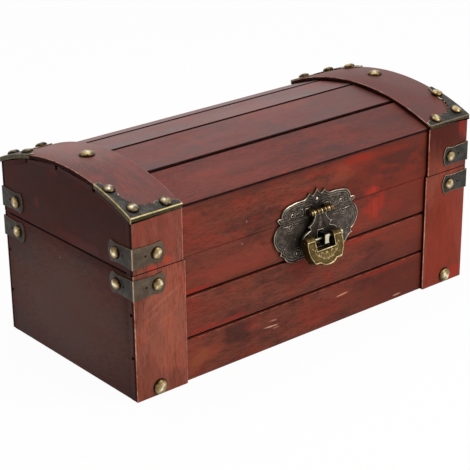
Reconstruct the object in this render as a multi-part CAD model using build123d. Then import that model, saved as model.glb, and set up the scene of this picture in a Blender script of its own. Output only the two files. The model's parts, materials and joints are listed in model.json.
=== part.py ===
# Wooden treasure chest with a domed slatted lid, antique brass corners, a hasp and a hanging padlock.
# Millimetres, +Z up, front towards -Y, origin in the middle of the bottom face.
import os
from math import acos, asin, atan2, cos, degrees, hypot, radians, sin

from build123d import *

os.makedirs("parts", exist_ok=True)

# Driving sizes of the wooden box
chest_width = 300.0
chest_depth = 145.6
base_height = 87.5
lid_edge_height = 38.1
dome_rise = 15.5
split_gap = 0.4

# Boards
plank_thickness = 4.0
end_thickness = 6.0
floor_thickness = 4.0
slat_thickness = 3.0
upper_plank_height = 26.3
middle_plank_height = 27.8
groove_width = 2.2
slat_gap_angles = (-11.5, 2.1, 13.5)
slat_gaps = (2.3, 2.0, 1.2)

# Straps at the two ends of the box
strap_width = 39.3
base_strap_width = 40.8
strap_thickness = 2.5

# Domed nails: large ones on the dome and at the feet, small ones in the brackets and guards
large_head_radius = 5.4
large_head_height = 2.9
small_head_radius = 4.2
small_head_height = 2.3
nail_rim = 0.5
nail_shank_radius = 0.8
nail_shank_length = 5.6
nail_clearance = 0.05
foot_nail_inset = 18.0
foot_nail_height = 5.8
dome_nail_insets = (22.0, 15.0)
dome_nail_offsets = (3.2, 7.2)

# Corner brackets on both sides of the split
sheet_thickness = 0.9
bracket_height = 14.0
bracket_front_reach = 24.4
bracket_side_reach = 24.0
base_bracket_drop = 9.7
lid_bracket_rise = 11.0
bracket_hole_radius = 0.8
bracket_front_nail_inset = 18.0
bracket_side_nail_inset = 16.6
neck_reach_share = 0.66
neck_height_share = 0.44
tip_reach_share = 0.89
tip_height_share = 0.52
hole_reach_share = 0.4

# Guards on the corners of the dome
guard_front_reach = 39.2
guard_side_reach = 36.8
guard_lip = 2.4
guard_arm_end = 3.2
guard_arm_width = 6.6
guard_tooth_count = 9
guard_tooth_depth = 0.9
guard_waist = 10.4
guard_teeth_span_share = 0.66
guard_nail_tip = 9.6
guard_nail_near = 3.9
guard_nail_corner = 6.2

# Latch plates
latch_offset = 3.8
plate_thickness = 1.5
plate_half_width = 38.3
plate_rise = 18.8
plate_drop = 31.2
pin_head_radius = 1.1
pin_head_height = 0.8
pin_shank_radius = 0.5
pin_shank_length = 3.6
seat_half_width = 3.0
seat_half_height = 5.0
seat_thickness = 0.8
upper_plate_shares = [
    (0.836, 0.000), (0.877, 0.080), (0.924, 0.207), (0.872, 0.260), (0.825, 0.245),
    (0.778, 0.490), (0.640, 0.638), (0.483, 0.686), (0.321, 0.691), (0.245, 0.745),
    (0.180, 0.888), (0.140, 0.800), (0.102, 0.755), (0.040, 0.860), (0.000, 1.000),
]
lower_plate_shares = [
    (0.836, 0.000), (0.903, 0.026), (0.956, 0.096), (1.000, 0.269), (0.950, 0.462),
    (0.903, 0.548), (0.846, 0.596), (0.836, 0.641), (0.867, 0.679), (0.809, 0.718),
    (0.752, 0.772), (0.721, 0.840), (0.658, 0.897), (0.548, 0.942), (0.431, 0.930),
    (0.287, 0.938), (0.157, 0.968), (0.078, 0.994), (0.000, 1.000),
]
upper_pin_shares = [(-0.575, 0.24), (0.0, 0.606), (0.575, 0.24)]
lower_pin_shares = [(-0.63, 0.10), (0.63, 0.10), (-0.45, 0.75), (0.45, 0.75)]

# Hasp on its barrel hinge
barrel_radius = 2.1
barrel_half_length = 10.0
hasp_knuckle_half = 5.0
knuckle_gap = 0.25
hasp_pin_radius = 0.9
running_clearance = 0.05
barrel_stand_off = 4.4
barrel_height = 4.0
hasp_thickness = 1.6
hasp_length = 31.2
hasp_half_width = 16.4
hasp_lip_radius = 1.9
hasp_lip_half = 6.5
hasp_lip_rise = 1.2
hasp_outline_shares = [
    (0.305, 0.090), (0.420, 0.220), (0.665, 0.305), (0.575, 0.340), (0.530, 0.390),
    (0.710, 0.420), (0.855, 0.460), (1.000, 0.610), (0.915, 0.770), (0.580, 0.940),
    (0.000, 1.000),
]

# Staple that stands through the hasp
staple_half_width = 2.0
staple_half_height = 4.0
staple_front = 3.5
staple_round = 1.0
staple_hole_radius = 1.7
staple_seat_gap = 0.35
slot_clearance = 0.3

# Padlock that hangs on its bar
bar_drop = 14.3
padlock_shift = -1.9
padlock_half_depth = 3.2
padlock_half_width = 16.0
padlock_length = 18.3
padlock_gap = 0.3
opening_half_width = 8.3
opening_depth = 7.0
bar_radius = 0.8
bar_clearance = 0.1
bar_reach = 15.4
bar_head_radius = 2.3
bar_head_length = 1.4
spring_thickness = 0.5
spring_length = 5.0
spring_height = 2.4
pocket_clearance = 0.3
padlock_outline_shares = [
    (0.975, 0.000), (1.000, 0.180), (0.975, 0.420), (0.915, 0.600), (0.830, 0.720),
    (0.760, 0.830), (0.620, 0.850), (0.530, 0.860), (0.450, 0.860), (0.370, 0.920),
    (0.240, 0.975), (0.120, 0.999), (0.000, 1.000),
]

# Back hinges
hinge_strap_distance = 25.7
hinge_half_length = 12.0
hinge_leaf_height = 13.0
hinge_leaf_thickness = 1.0
hinge_knuckle_radius = 1.9
hinge_middle_half = 3.9
hinge_pin_radius = 0.9
hinge_stand_off = 0.8
hinge_notch = 0.35
screw_head_radius = 1.9
screw_head_height = 0.9
screw_shank_radius = 0.9
screw_shank_length = 4.2
screw_side_share = 0.6
screw_height_share = 0.55

cut_overrun = 1.0

# Places that follow from the sizes
half_width = chest_width / 2
strap_face = chest_depth / 2
plank_face = strap_face - strap_thickness
plank_back = plank_face - plank_thickness
end_inside = half_width - end_thickness
strap_inside = half_width - strap_width
lid_bottom = base_height + split_gap
lid_edge = base_height + lid_edge_height
dome_radius = (strap_face**2 + dome_rise**2) / (2 * dome_rise)
dome_centre = lid_edge + dome_rise - dome_radius
slat_radius = dome_radius - strap_thickness
guard_radius = dome_radius + sheet_thickness
plate_face = plank_face + plate_thickness
barrel_y = -(plate_face + barrel_stand_off)
barrel_z = base_height + barrel_height
hasp_back = barrel_y + barrel_radius
hasp_front = hasp_back - hasp_thickness
bar_y = hasp_front - padlock_gap - padlock_half_depth
bar_z = base_height - bar_drop
lip_y = hasp_front - hasp_lip_radius / 2
lip_z = barrel_z - hasp_length + hasp_lip_radius + hasp_lip_rise
padlock_x = latch_offset + padlock_shift
base_bracket_middle = base_height - base_bracket_drop
lid_bracket_middle = lid_bottom + lid_bracket_rise
hinge_place = strap_inside - hinge_strap_distance
hinge_y = strap_face + hinge_stand_off
hinge_z = base_height + split_gap / 2


def padlock_lean():
    # The angle at which the padlock's back rests just clear of the hasp's rolled lip
    back = lip_y - bar_y
    down = bar_z - lip_z
    reach = padlock_half_depth + hasp_lip_radius + padlock_gap
    return degrees(atan2(down, back) - acos(reach / hypot(back, down)))


def block(x0, x1, y0, y1, z0, z1):
    # A box from its lowest to its highest corner
    return Pos((x0 + x1) / 2, (y0 + y1) / 2, (z0 + z1) / 2) * Box(x1 - x0, y1 - y0, z1 - z0)


def board(section, x0, x1):
    # A board along X from its section in Y and Z
    outline = Polyline(*[(x0, y, z) for y, z in section], close=True)
    return extrude(make_face(outline), amount=x1 - x0, dir=(1, 0, 0))


def rod(radius, x0, x1, y, z):
    # A round bar along X
    return Pos((x0 + x1) / 2, y, z) * Rot(Y=90) * Cylinder(radius, x1 - x0)


def dome_height(y, radius):
    # The height of a dome circle over a place in Y
    return dome_centre + (radius**2 - y**2) ** 0.5


def arc_chain(points):
    # Three-point arcs, each from one point over the next to the one after
    steps = range(0, len(points) - 2, 2)
    return [ThreePointArc(points[i], points[i + 1], points[i + 2]) for i in steps]


def scaled(shares, width, height):
    return [(width * u, height * v) for u, v in shares]


def both_sides(half_outline):
    # The right half of an outline and its mirror image, as one chain of arcs
    mirrored = [(-x, z) for x, z in reversed(half_outline)]
    return arc_chain(half_outline) + arc_chain(mirrored)


def upright_face(edges, x, y, z):
    # A face in X and Z, facing the front, at a place of the latch
    wire = Wire(edges)
    return Plane((x, y, z), x_dir=(1, 0, 0), z_dir=(0, -1, 0)) * make_face(wire)


# Nails
def nail(place, direction, head_radius, head_height):
    # A domed head on a short shank, head up along the direction
    sphere_radius = head_radius**2 + (head_height - nail_rim) ** 2
    sphere_radius = sphere_radius / (2 * (head_height - nail_rim))
    middle = head_height - sphere_radius
    shoulder = asin(head_radius / sphere_radius) / 2
    arc_point = (sphere_radius * sin(shoulder), middle + sphere_radius * cos(shoulder))
    outline = [
        Line((0, 0), (head_radius, 0)),
        Line((head_radius, 0), (head_radius, nail_rim)),
        ThreePointArc((head_radius, nail_rim), arc_point, (0, head_height)),
        Line((0, head_height), (0, 0)),
    ]
    head = revolve(Plane.XZ * make_face(Wire(outline)), axis=Axis.Z)
    shank = Pos(0, 0, -nail_shank_length / 2) * Cylinder(nail_shank_radius, nail_shank_length)
    return Plane(place, z_dir=direction) * (head + shank)


def small_fastener(place, direction, head_radius, head_height, shank_radius, shank_length):
    # A pin or screw with a low domed head
    sphere_radius = (head_radius**2 + head_height**2) / (2 * head_height)
    ball = Pos(0, 0, head_height - sphere_radius) * Sphere(sphere_radius)
    head = ball & (Pos(0, 0, head_height / 2) * Cylinder(head_radius, head_height))
    shank = Pos(0, 0, -shank_length / 2) * Cylinder(shank_radius, shank_length)
    return Plane(place, z_dir=direction) * (head + shank)


def bracket_nails(middle):
    # One nail on the front or back leaf and one on the side leaf of each of four brackets
    places = []
    for side in (-1, 1):
        for face in (-1, 1):
            x = side * (half_width - bracket_front_nail_inset)
            places.append(((x, face * (strap_face + sheet_thickness), middle), (0, face, 0)))
            y = face * (strap_face - bracket_side_nail_inset)
            places.append(((side * (half_width + sheet_thickness), y, middle), (side, 0, 0)))
    return places


def foot_nails():
    places = []
    for side in (-1, 1):
        for face in (-1, 1):
            x = side * (half_width - foot_nail_inset)
            places.append(((x, face * strap_face, foot_nail_height), (0, face, 0)))
    return places


def dome_place(x, y, radius):
    # A point on the dome and the direction that stands square on it
    lean = y / radius
    return (x, y, dome_height(y, radius)), (0, lean, (1 - lean**2) ** 0.5)


def dome_nails():
    places = []
    for side, inset, offset in zip((-1, 1), dome_nail_insets, dome_nail_offsets):
        places.append(dome_place(side * (half_width - inset), offset, dome_radius))
    return places


def guard_nails():
    spots = [
        (guard_nail_near, guard_side_reach - guard_nail_tip),
        (guard_nail_corner, guard_nail_corner),
        (guard_front_reach - guard_nail_tip, guard_nail_near),
    ]
    places = []
    for side in (-1, 1):
        for face in (-1, 1):
            for along, across in spots:
                x = side * (half_width - along)
                y = face * (strap_face - across)
                places.append(dome_place(x, y, guard_radius))
    return places


def latch_places(shares, height):
    # Pin places on a latch plate, as points of its face
    places = []
    for across, up in shares:
        x = latch_offset + across * plate_half_width
        places.append(((x, -plate_face, base_height + up * height), (0, -1, 0)))
    return places


def hinge_places(upward):
    # Two screws in each hinge leaf, on the base's leaves or on the lid's
    places = []
    y = plank_face + hinge_leaf_thickness
    z = hinge_z + upward * screw_height_share * hinge_leaf_height
    for side in (-1, 1):
        for hand in (-1, 1):
            x = side * hinge_place + hand * screw_side_share * hinge_half_length
            places.append(((x, y, z), (0, 1, 0)))
    return places


def drill(place, direction, radius, length):
    # The hole that a shank needs, from above the head's seat to the shank's tip
    depth = length + nail_clearance
    middle = Plane(place, z_dir=direction) * Pos(0, 0, (cut_overrun - depth) / 2)
    return middle * Cylinder(radius + nail_clearance, depth + cut_overrun)


def all_drills(base_side):
    # Every shank hole of the base or of the lid
    sizes_nail = (nail_shank_radius, nail_shank_length)
    sizes_pin = (pin_shank_radius, pin_shank_length)
    sizes_screw = (screw_shank_radius, screw_shank_length)
    if base_side:
        groups = [
            (bracket_nails(base_bracket_middle) + foot_nails(), sizes_nail),
            (latch_places(lower_pin_shares, -plate_drop), sizes_pin),
            (hinge_places(-1), sizes_screw),
        ]
    else:
        groups = [
            (bracket_nails(lid_bracket_middle) + dome_nails() + guard_nails(), sizes_nail),
            (latch_places(upper_pin_shares, plate_rise), sizes_pin),
            (hinge_places(1), sizes_screw),
        ]
    return [drill(place, way, *sizes) for places, sizes in groups for place, way in places]


def boxes_meet(first, second):
    a = first.bounding_box()
    b = second.bounding_box()
    across = a.min.X < b.max.X and b.min.X < a.max.X
    deep = a.min.Y < b.max.Y and b.min.Y < a.max.Y
    high = a.min.Z < b.max.Z and b.min.Z < a.max.Z
    return across and deep and high


def drilled(piece, drills):
    # The piece with the holes of the shanks that pass through it
    for tool in drills:
        if boxes_meet(piece, tool):
            piece = piece - tool
    return piece


# Base
def base_end():
    return block(-half_width, -end_inside, -plank_back, plank_back, 0, base_height)


def floor_panel():
    return block(-end_inside, end_inside, -plank_back, plank_back, 0, floor_thickness)


def base_plank(bottom, top, next_plank):
    # A front plank with a half-thickness tongue that closes the groove above it
    section = [(-plank_face, bottom), (-plank_back, bottom), (-plank_back, top)]
    if next_plank:
        tongue = -(plank_face + plank_back) / 2
        closed = top + groove_width
        section = section[:2] + [(-plank_back, closed), (tongue, closed), (tongue, top)]
    section.append((-plank_face, top))
    return board(section, -half_width, half_width)


def base_strap():
    inside = base_strap_width - half_width
    return block(-half_width, inside, -strap_face, -plank_face, 0, base_height)


# Lid
def slat_edges():
    # The angle and half gap at each edge of the slats, from the front to the back
    edge = degrees(asin(plank_face / slat_radius))
    angles = [-edge, *slat_gap_angles, edge]
    gaps = [0, *slat_gaps, 0]
    return [(radians(angle), gap / 2) for angle, gap in zip(angles, gaps)]


def slat_section(index):
    # A flat slat between two points of the slat circle, with a square or an upright outer edge
    (first_angle, first_gap), (last_angle, last_gap) = slat_edges()[index : index + 2]
    first = (slat_radius * sin(first_angle), dome_centre + slat_radius * cos(first_angle))
    last = (slat_radius * sin(last_angle), dome_centre + slat_radius * cos(last_angle))
    run = hypot(last[0] - first[0], last[1] - first[1])
    along = ((last[0] - first[0]) / run, (last[1] - first[1]) / run)
    down = (along[1], -along[0])
    top_first = (first[0] + along[0] * first_gap, first[1] + along[1] * first_gap)
    top_last = (last[0] - along[0] * last_gap, last[1] - along[1] * last_gap)
    slope = along[1] / along[0]
    fall = slat_thickness / along[0]
    under_first = (top_first[0] + down[0] * slat_thickness, top_first[1] + down[1] * slat_thickness)
    under_last = (top_last[0] + down[0] * slat_thickness, top_last[1] + down[1] * slat_thickness)
    if index == 0:
        under_first = (top_first[0], top_first[1] - fall)
    if index == len(slat_gap_angles):
        under_last = (top_last[0], top_last[1] - fall)
    return [top_first, under_first, under_last, top_last], slope


def slat(index):
    section, slope = slat_section(index)
    return board(section, -half_width, half_width)


def wall_top(y):
    # The height under the slats over a place in Y
    heights = []
    for index in range(len(slat_gap_angles) + 1):
        section, slope = slat_section(index)
        under_first = section[1]
        heights.append(under_first[1] + slope * (y - under_first[0]))
    return min(heights)


def lid_end():
    # The lid's end wall, whose top follows the undersides of the slats
    corners = []
    for index in range(len(slat_gap_angles)):
        section, slope = slat_section(index)
        next_section, next_slope = slat_section(index + 1)
        offset = section[1][1] - slope * section[1][0]
        next_offset = next_section[1][1] - next_slope * next_section[1][0]
        y = (next_offset - offset) / (slope - next_slope)
        corners.append((y, offset + slope * y))
    top = [(-plank_back, wall_top(-plank_back)), *corners, (plank_back, wall_top(plank_back))]
    section = [(-plank_back, lid_bottom), *top, (plank_back, lid_bottom)]
    return board(section, -half_width, -end_inside)


def lid_plank():
    # The lid's front plank, whose top is planed to the first slat
    section = [
        (-plank_face, lid_bottom),
        (-plank_back, lid_bottom),
        (-plank_back, wall_top(-plank_back)),
        (-plank_face, wall_top(-plank_face)),
    ]
    return board(section, -half_width, half_width)


def lid_back_plank():
    section = [
        (plank_face, lid_bottom),
        (plank_back, lid_bottom),
        (plank_back, wall_top(plank_back)),
        (plank_face, wall_top(plank_face)),
    ]
    return board(section, -half_width, half_width)


def lid_strap():
    # The upright strap of the lid, whose top runs up to the dome strap
    section = [
        (-strap_face, lid_bottom),
        (-plank_face, lid_bottom),
        (-plank_face, dome_height(plank_face, slat_radius)),
        (-strap_face, dome_height(strap_face, slat_radius)),
    ]
    return board(section, -half_width, -strap_inside)


def dome_strap():
    # The bent board that lies over the slats
    outer_end = (strap_face, dome_height(strap_face, dome_radius))
    inner_end = (strap_face, dome_height(strap_face, slat_radius))
    outer_top = (0, dome_centre + dome_radius)
    inner_top = (0, dome_centre + slat_radius)
    edges = [
        ThreePointArc((-outer_end[0], outer_end[1]), outer_top, outer_end),
        Line(outer_end, inner_end),
        ThreePointArc(inner_end, inner_top, (-inner_end[0], inner_end[1])),
        Line((-inner_end[0], inner_end[1]), (-outer_end[0], outer_end[1])),
    ]
    section = Plane((-half_width, 0, 0), x_dir=(0, 1, 0), z_dir=(1, 0, 0)) * make_face(Wire(edges))
    return extrude(section, amount=strap_width, dir=(1, 0, 0))


# Corner fittings
def leaf_outline(reach):
    # One leaf of a bracket, from the corner to its flared and rounded end
    neck = neck_reach_share * reach
    tip = tip_reach_share * reach
    half = bracket_height / 2
    neck_half = neck_height_share * bracket_height
    tip_half = tip_height_share * bracket_height
    return [
        Line((0, -half), (neck, -neck_half)),
        Line((neck, -neck_half), (tip, -tip_half)),
        ThreePointArc((tip, -tip_half), (reach, 0), (tip, tip_half)),
        Line((tip, tip_half), (neck, neck_half)),
        Line((neck, neck_half), (0, half)),
        Line((0, half), (0, -half)),
    ]


def bracket_leaf(reach):
    # A leaf that lies flat in X and Y, with its small spare hole
    plate = extrude(make_face(Wire(leaf_outline(reach))), amount=sheet_thickness)
    hole = Pos(hole_reach_share * reach, 0, sheet_thickness / 2)
    return plate - hole * Cylinder(bracket_hole_radius, sheet_thickness + cut_overrun)


def bracket(middle):
    # A bent sheet round the front left corner
    corner = (-half_width - sheet_thickness, -strap_face - sheet_thickness, middle)
    front = Plane(corner, x_dir=(1, 0, 0), z_dir=(0, 1, 0))
    side = Plane(corner, x_dir=(0, 1, 0), z_dir=(1, 0, 0))
    front_leaf = front * bracket_leaf(bracket_front_reach + sheet_thickness)
    side_leaf = side * bracket_leaf(bracket_side_reach + sheet_thickness)
    return front_leaf + side_leaf


def toothed_edge():
    # Scallops cut into the hollow edge of a guard, with a tooth between each two
    start = (guard_front_reach * guard_teeth_span_share, guard_arm_width)
    end = (guard_arm_width, guard_side_reach * guard_teeth_span_share)
    path = ThreePointArc(start, (guard_waist, guard_waist), end)
    edges = []
    for index in range(guard_tooth_count):
        first = path @ (index / guard_tooth_count)
        last = path @ ((index + 1) / guard_tooth_count)
        middle = (first + last) / 2
        toward_corner = Vector(-middle.X, -middle.Y, 0).normalized()
        edges.append(ThreePointArc(first, middle + toward_corner * guard_tooth_depth, last))
    return start, end, edges


def guard_outline():
    # The guard from above, from the box's corner along the front and along the end
    start, end, teeth = toothed_edge()
    outer = -sheet_thickness
    front_tip = (guard_front_reach, guard_arm_end)
    side_tip = (guard_arm_end, guard_side_reach)
    return [
        Line((outer, outer), (guard_front_reach, outer)),
        Line((guard_front_reach, outer), front_tip),
        Line(front_tip, start),
        *teeth,
        Line(end, side_tip),
        Line(side_tip, (outer, guard_side_reach)),
        Line((outer, guard_side_reach), (outer, outer)),
    ]


def corner_guard():
    # A curved plate over the dome's corner with folded lips on the front and the end
    x_corner = -half_width
    y_corner = -strap_face
    x_end = x_corner + guard_front_reach
    y_end = y_corner + guard_side_reach
    bottom = lid_edge - guard_lip - dome_rise
    top = lid_edge + 2 * dome_rise
    middle_x = (x_corner + x_end) / 2
    span = guard_front_reach + 2 * cut_overrun + 2 * sheet_thickness
    outside = Pos(middle_x, 0, dome_centre) * Rot(Y=90) * Cylinder(guard_radius, span)
    inside = Pos(middle_x, 0, dome_centre) * Rot(Y=90) * Cylinder(dome_radius, span + cut_overrun)
    lip_inside = Pos(middle_x, 0, dome_centre) * Rot(Y=90)
    lip_inside = lip_inside * Cylinder(dome_radius - guard_lip, span + cut_overrun)
    outline = Pos(x_corner, y_corner, bottom) * make_face(Wire(guard_outline()))
    cap = (extrude(outline, amount=top - bottom) & outside) - inside
    x_out = x_corner - sheet_thickness
    y_out = y_corner - sheet_thickness
    front_lip = block(x_out, x_end, y_out, y_corner, lid_edge - guard_lip, top) & outside
    end_lip = (block(x_out, x_corner, y_out, y_end, bottom, top) & outside) - lip_inside
    return cap + front_lip + end_lip


# Latch
def latch_plate(shares, height):
    # Half of the latch ornament, above or below the split
    points = scaled(shares, plate_half_width, height)
    edges = both_sides(points)
    edges.append(Line((-points[0][0], 0), points[0]))
    start = base_height + (split_gap if height > 0 else 0)
    face = upright_face(edges, latch_offset, -plank_face, start)
    return extrude(face, amount=plate_thickness, dir=(0, -1, 0))


def latch_upper_plate():
    # The lid's plate with the two fixed knuckles of the hasp's barrel
    plate = latch_plate(upper_plate_shares, plate_rise)
    inner = hasp_knuckle_half + knuckle_gap
    for side in (-1, 1):
        x0, x1 = sorted((latch_offset + side * inner, latch_offset + side * barrel_half_length))
        lug = block(x0, x1, barrel_y, -plank_face, barrel_z - barrel_radius, barrel_z + barrel_radius)
        plate = plate + lug + rod(barrel_radius, x0, x1, barrel_y, barrel_z)
    x0 = latch_offset - barrel_half_length - cut_overrun
    x1 = latch_offset + barrel_half_length + cut_overrun
    return plate - rod(hasp_pin_radius + running_clearance, x0, x1, barrel_y, barrel_z)


def latch_lower_plate():
    # The base's plate with the small seat that the staple's foot stands against
    plate = latch_plate(lower_plate_shares, -plate_drop)
    seat = block(
        latch_offset - seat_half_width,
        latch_offset + seat_half_width,
        -plate_face - seat_thickness,
        -plate_face,
        bar_z - seat_half_height,
        bar_z + seat_half_height,
    )
    return plate + seat


def hasp():
    # The hinged flap with its knuckle, the slot for the staple and the rolled lip
    points = scaled(hasp_outline_shares, hasp_half_width, -hasp_length)
    top_right = (points[0][0], 0)
    top_left = (-points[0][0], 0)
    edges = both_sides(points)
    edges.append(Line(top_right, points[0]))
    edges.append(Line((-points[0][0], points[0][1]), top_left))
    edges.append(Line(top_left, top_right))
    face = upright_face(edges, latch_offset, hasp_back, barrel_z)
    flap = extrude(face, amount=hasp_thickness, dir=(0, -1, 0))
    x0 = latch_offset - hasp_knuckle_half
    x1 = latch_offset + hasp_knuckle_half
    flap = flap + rod(barrel_radius, x0, x1, barrel_y, barrel_z)
    lip_x0 = latch_offset - hasp_lip_half
    lip_x1 = latch_offset + hasp_lip_half
    flap = flap + rod(hasp_lip_radius, lip_x0, lip_x1, lip_y, lip_z)
    bore_radius = hasp_pin_radius + running_clearance
    bore = rod(bore_radius, x0 - cut_overrun, x1 + cut_overrun, barrel_y, barrel_z)
    slot_half = staple_half_width + slot_clearance
    slot_high = staple_half_height + slot_clearance
    slot = block(
        latch_offset - slot_half,
        latch_offset + slot_half,
        hasp_front - cut_overrun,
        hasp_back + cut_overrun,
        bar_z - slot_high,
        bar_z + slot_high,
    )
    return flap - bore - slot


def hasp_pin():
    return rod(
        hasp_pin_radius,
        latch_offset - barrel_half_length,
        latch_offset + barrel_half_length,
        barrel_y,
        barrel_z,
    )


def staple():
    # The eye that stands through the hasp's slot, with its hole along X for the padlock's bar
    foot = -plate_face - seat_thickness - staple_seat_gap
    body = block(
        latch_offset - staple_half_width,
        latch_offset + staple_half_width,
        bar_y - staple_front,
        foot,
        bar_z - staple_half_height,
        bar_z + staple_half_height,
    )
    front_edges = body.edges().filter_by(Axis.X).sort_by(Axis.Y)[:2]
    body = fillet(front_edges, staple_round)
    x0 = latch_offset - staple_half_width - cut_overrun
    x1 = latch_offset + staple_half_width + cut_overrun
    return body - rod(staple_hole_radius, x0, x1, bar_y, bar_z)


# Padlock
def leaned(piece):
    # Turns a piece of the upright padlock about its bar to the lean it hangs at
    swing = Pos(0, bar_y, bar_z) * Rot(X=-padlock_lean()) * Pos(0, -bar_y, -bar_z)
    return swing * piece


def padlock_body():
    # A lotus-shaped casting with a square throat between two arms, bored for the bar
    points = scaled(padlock_outline_shares, padlock_half_width, -padlock_length)
    outer_x = points[0][0]
    top = padlock_half_depth
    edges = both_sides(points)
    edges.append(Line((outer_x, 0), (outer_x, top)))
    edges.append(Line((outer_x, top), (-outer_x, top)))
    edges.append(Line((-outer_x, top), (-outer_x, 0)))
    front = bar_y - padlock_half_depth
    face = upright_face(edges, padlock_x, front + 2 * padlock_half_depth, bar_z)
    body = extrude(face, amount=2 * padlock_half_depth, dir=(0, -1, 0))
    x0 = padlock_x - padlock_half_width
    x1 = padlock_x + padlock_half_width
    y0 = front
    y1 = front + 2 * padlock_half_depth
    below = block(x0, x1, y0, y1, bar_z - padlock_length - cut_overrun, bar_z)
    body = body & (below + rod(padlock_half_depth, x0, x1, bar_y, bar_z))
    throat = block(
        padlock_x - opening_half_width,
        padlock_x + opening_half_width,
        y0 - cut_overrun,
        y1 + cut_overrun,
        bar_z - opening_depth,
        bar_z + top + cut_overrun,
    )
    bore = rod(bar_radius + bar_clearance, x0 - cut_overrun, x1 + cut_overrun, bar_y, bar_z)
    return leaned(body - throat - bore - spring_pocket())


def spring_centre():
    # The spring lies in the right arm, just under the bar
    x = padlock_x + (opening_half_width + padlock_half_width) / 2
    z = bar_z - bar_radius - bar_clearance - pocket_clearance - spring_height / 2
    return x, z


def spring_pocket():
    # The hollow in the right arm that opens into the bar's bore
    x, z = spring_centre()
    half = spring_length / 2 + pocket_clearance
    deep = spring_thickness / 2 + pocket_clearance
    bottom = z - spring_height / 2 - pocket_clearance
    return block(x - half, x + half, bar_y - deep, bar_y + deep, bottom, bar_z)


def padlock_spring():
    # The flat catch spring inside the padlock
    x, z = spring_centre()
    half = spring_length / 2
    deep = spring_thickness / 2
    high = spring_height / 2
    return leaned(block(x - half, x + half, bar_y - deep, bar_y + deep, z - high, z + high))


def padlock_bar():
    # The sliding bar with its round head outside the right arm
    start = padlock_x - bar_reach
    shoulder = padlock_x + padlock_half_width
    bar = rod(bar_radius, start, shoulder, bar_y, bar_z)
    return bar + rod(bar_head_radius, shoulder, shoulder + bar_head_length, bar_y, bar_z)


# Back hinges
def hinge_leaf(upward):
    # One leaf with its knuckles: two outer ones on the base, the middle one on the lid
    y0 = plank_face
    y1 = plank_face + hinge_leaf_thickness
    near = hinge_z + upward * split_gap / 2
    far = hinge_z + upward * hinge_leaf_height
    leaf = block(-hinge_half_length, hinge_half_length, y0, y1, min(near, far), max(near, far))
    own_edge = hinge_middle_half + knuckle_gap
    spans = [(-hinge_half_length, -own_edge), (own_edge, hinge_half_length)]
    others = [(-own_edge, own_edge)]
    if upward > 0:
        spans = [(-hinge_middle_half, hinge_middle_half)]
        outer = hinge_half_length + cut_overrun
        others = [(-outer, -hinge_middle_half), (hinge_middle_half, outer)]
    reach = hinge_knuckle_radius + hinge_notch
    for x0, x1 in others:
        limits = sorted((hinge_z - upward * cut_overrun, hinge_z + upward * reach))
        leaf = leaf - block(x0, x1, y0 - cut_overrun, y1 + cut_overrun, *limits)
    for x0, x1 in spans:
        limits = sorted((near, hinge_z + upward * hinge_knuckle_radius))
        leaf = leaf + block(x0, x1, y0, hinge_y, *limits)
        leaf = leaf + rod(hinge_knuckle_radius, x0, x1, hinge_y, hinge_z)
    bore_end = hinge_half_length + cut_overrun
    return leaf - rod(hinge_pin_radius + running_clearance, -bore_end, bore_end, hinge_y, hinge_z)


def hinge_pin():
    return rod(hinge_pin_radius, -hinge_half_length, hinge_half_length, hinge_y, hinge_z)


def left_right(piece):
    return [("left", piece), ("right", mirror(piece, about=Plane.YZ))]


def four_corners(piece):
    # The front left piece and its mirror images
    corners = []
    for side, part in left_right(piece):
        corners.append((f"front_{side}", part))
        corners.append((f"back_{side}", mirror(part, about=Plane.XZ)))
    return corners


def base_nodes():
    drills = all_drills(True)
    nodes = {"floor_panel": floor_panel()}
    for side, piece in left_right(base_end()):
        nodes[f"base_{side}_end"] = drilled(piece, drills)
    upper_bottom = base_height - upper_plank_height
    middle_top = upper_bottom - groove_width
    middle_bottom = middle_top - middle_plank_height
    levels = [
        ("lower", 0, middle_bottom - groove_width, True),
        ("middle", middle_bottom, middle_top, True),
        ("upper", upper_bottom, base_height, False),
    ]
    for name, bottom, top, next_plank in levels:
        plank = base_plank(bottom, top, next_plank)
        nodes[f"base_front_plank_{name}"] = drilled(plank, drills)
        nodes[f"base_back_plank_{name}"] = drilled(mirror(plank, about=Plane.XZ), drills)
    for corner, piece in four_corners(base_strap()):
        nodes[f"base_strap_{corner}"] = drilled(piece, drills)
    for corner, piece in four_corners(bracket(base_bracket_middle)):
        nodes[f"base_bracket_{corner}"] = drilled(piece, drills)
    nodes["latch_lower_plate"] = drilled(latch_lower_plate(), drills)
    for side, sign in (("left", -1), ("right", 1)):
        place = Pos(sign * hinge_place, 0, 0)
        nodes[f"hinge_base_leaf_{side}"] = drilled(place * hinge_leaf(-1), drills)
        nodes[f"hinge_pin_{side}"] = place * hinge_pin()
    return nodes


def lid_nodes():
    drills = all_drills(False)
    nodes = {}
    for side, piece in left_right(lid_end()):
        nodes[f"lid_{side}_end"] = drilled(piece, drills)
    nodes["lid_front_plank"] = drilled(lid_plank(), drills)
    nodes["lid_back_plank"] = drilled(lid_back_plank(), drills)
    for index in range(len(slat_gap_angles) + 1):
        nodes[f"lid_slat_{index + 1}"] = drilled(slat(index), drills)
    for side, piece in left_right(dome_strap()):
        nodes[f"dome_strap_{side}"] = drilled(piece, drills)
    for corner, piece in four_corners(lid_strap()):
        nodes[f"lid_strap_{corner}"] = drilled(piece, drills)
    for corner, piece in four_corners(bracket(lid_bracket_middle)):
        nodes[f"lid_bracket_{corner}"] = drilled(piece, drills)
    for corner, piece in four_corners(corner_guard()):
        nodes[f"corner_guard_{corner}"] = drilled(piece, drills)
    nodes["latch_upper_plate"] = drilled(latch_upper_plate(), drills)
    for side, sign in (("left", -1), ("right", 1)):
        nodes[f"hinge_lid_leaf_{side}"] = drilled(Pos(sign * hinge_place, 0, 0) * hinge_leaf(1), drills)
    return nodes


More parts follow.
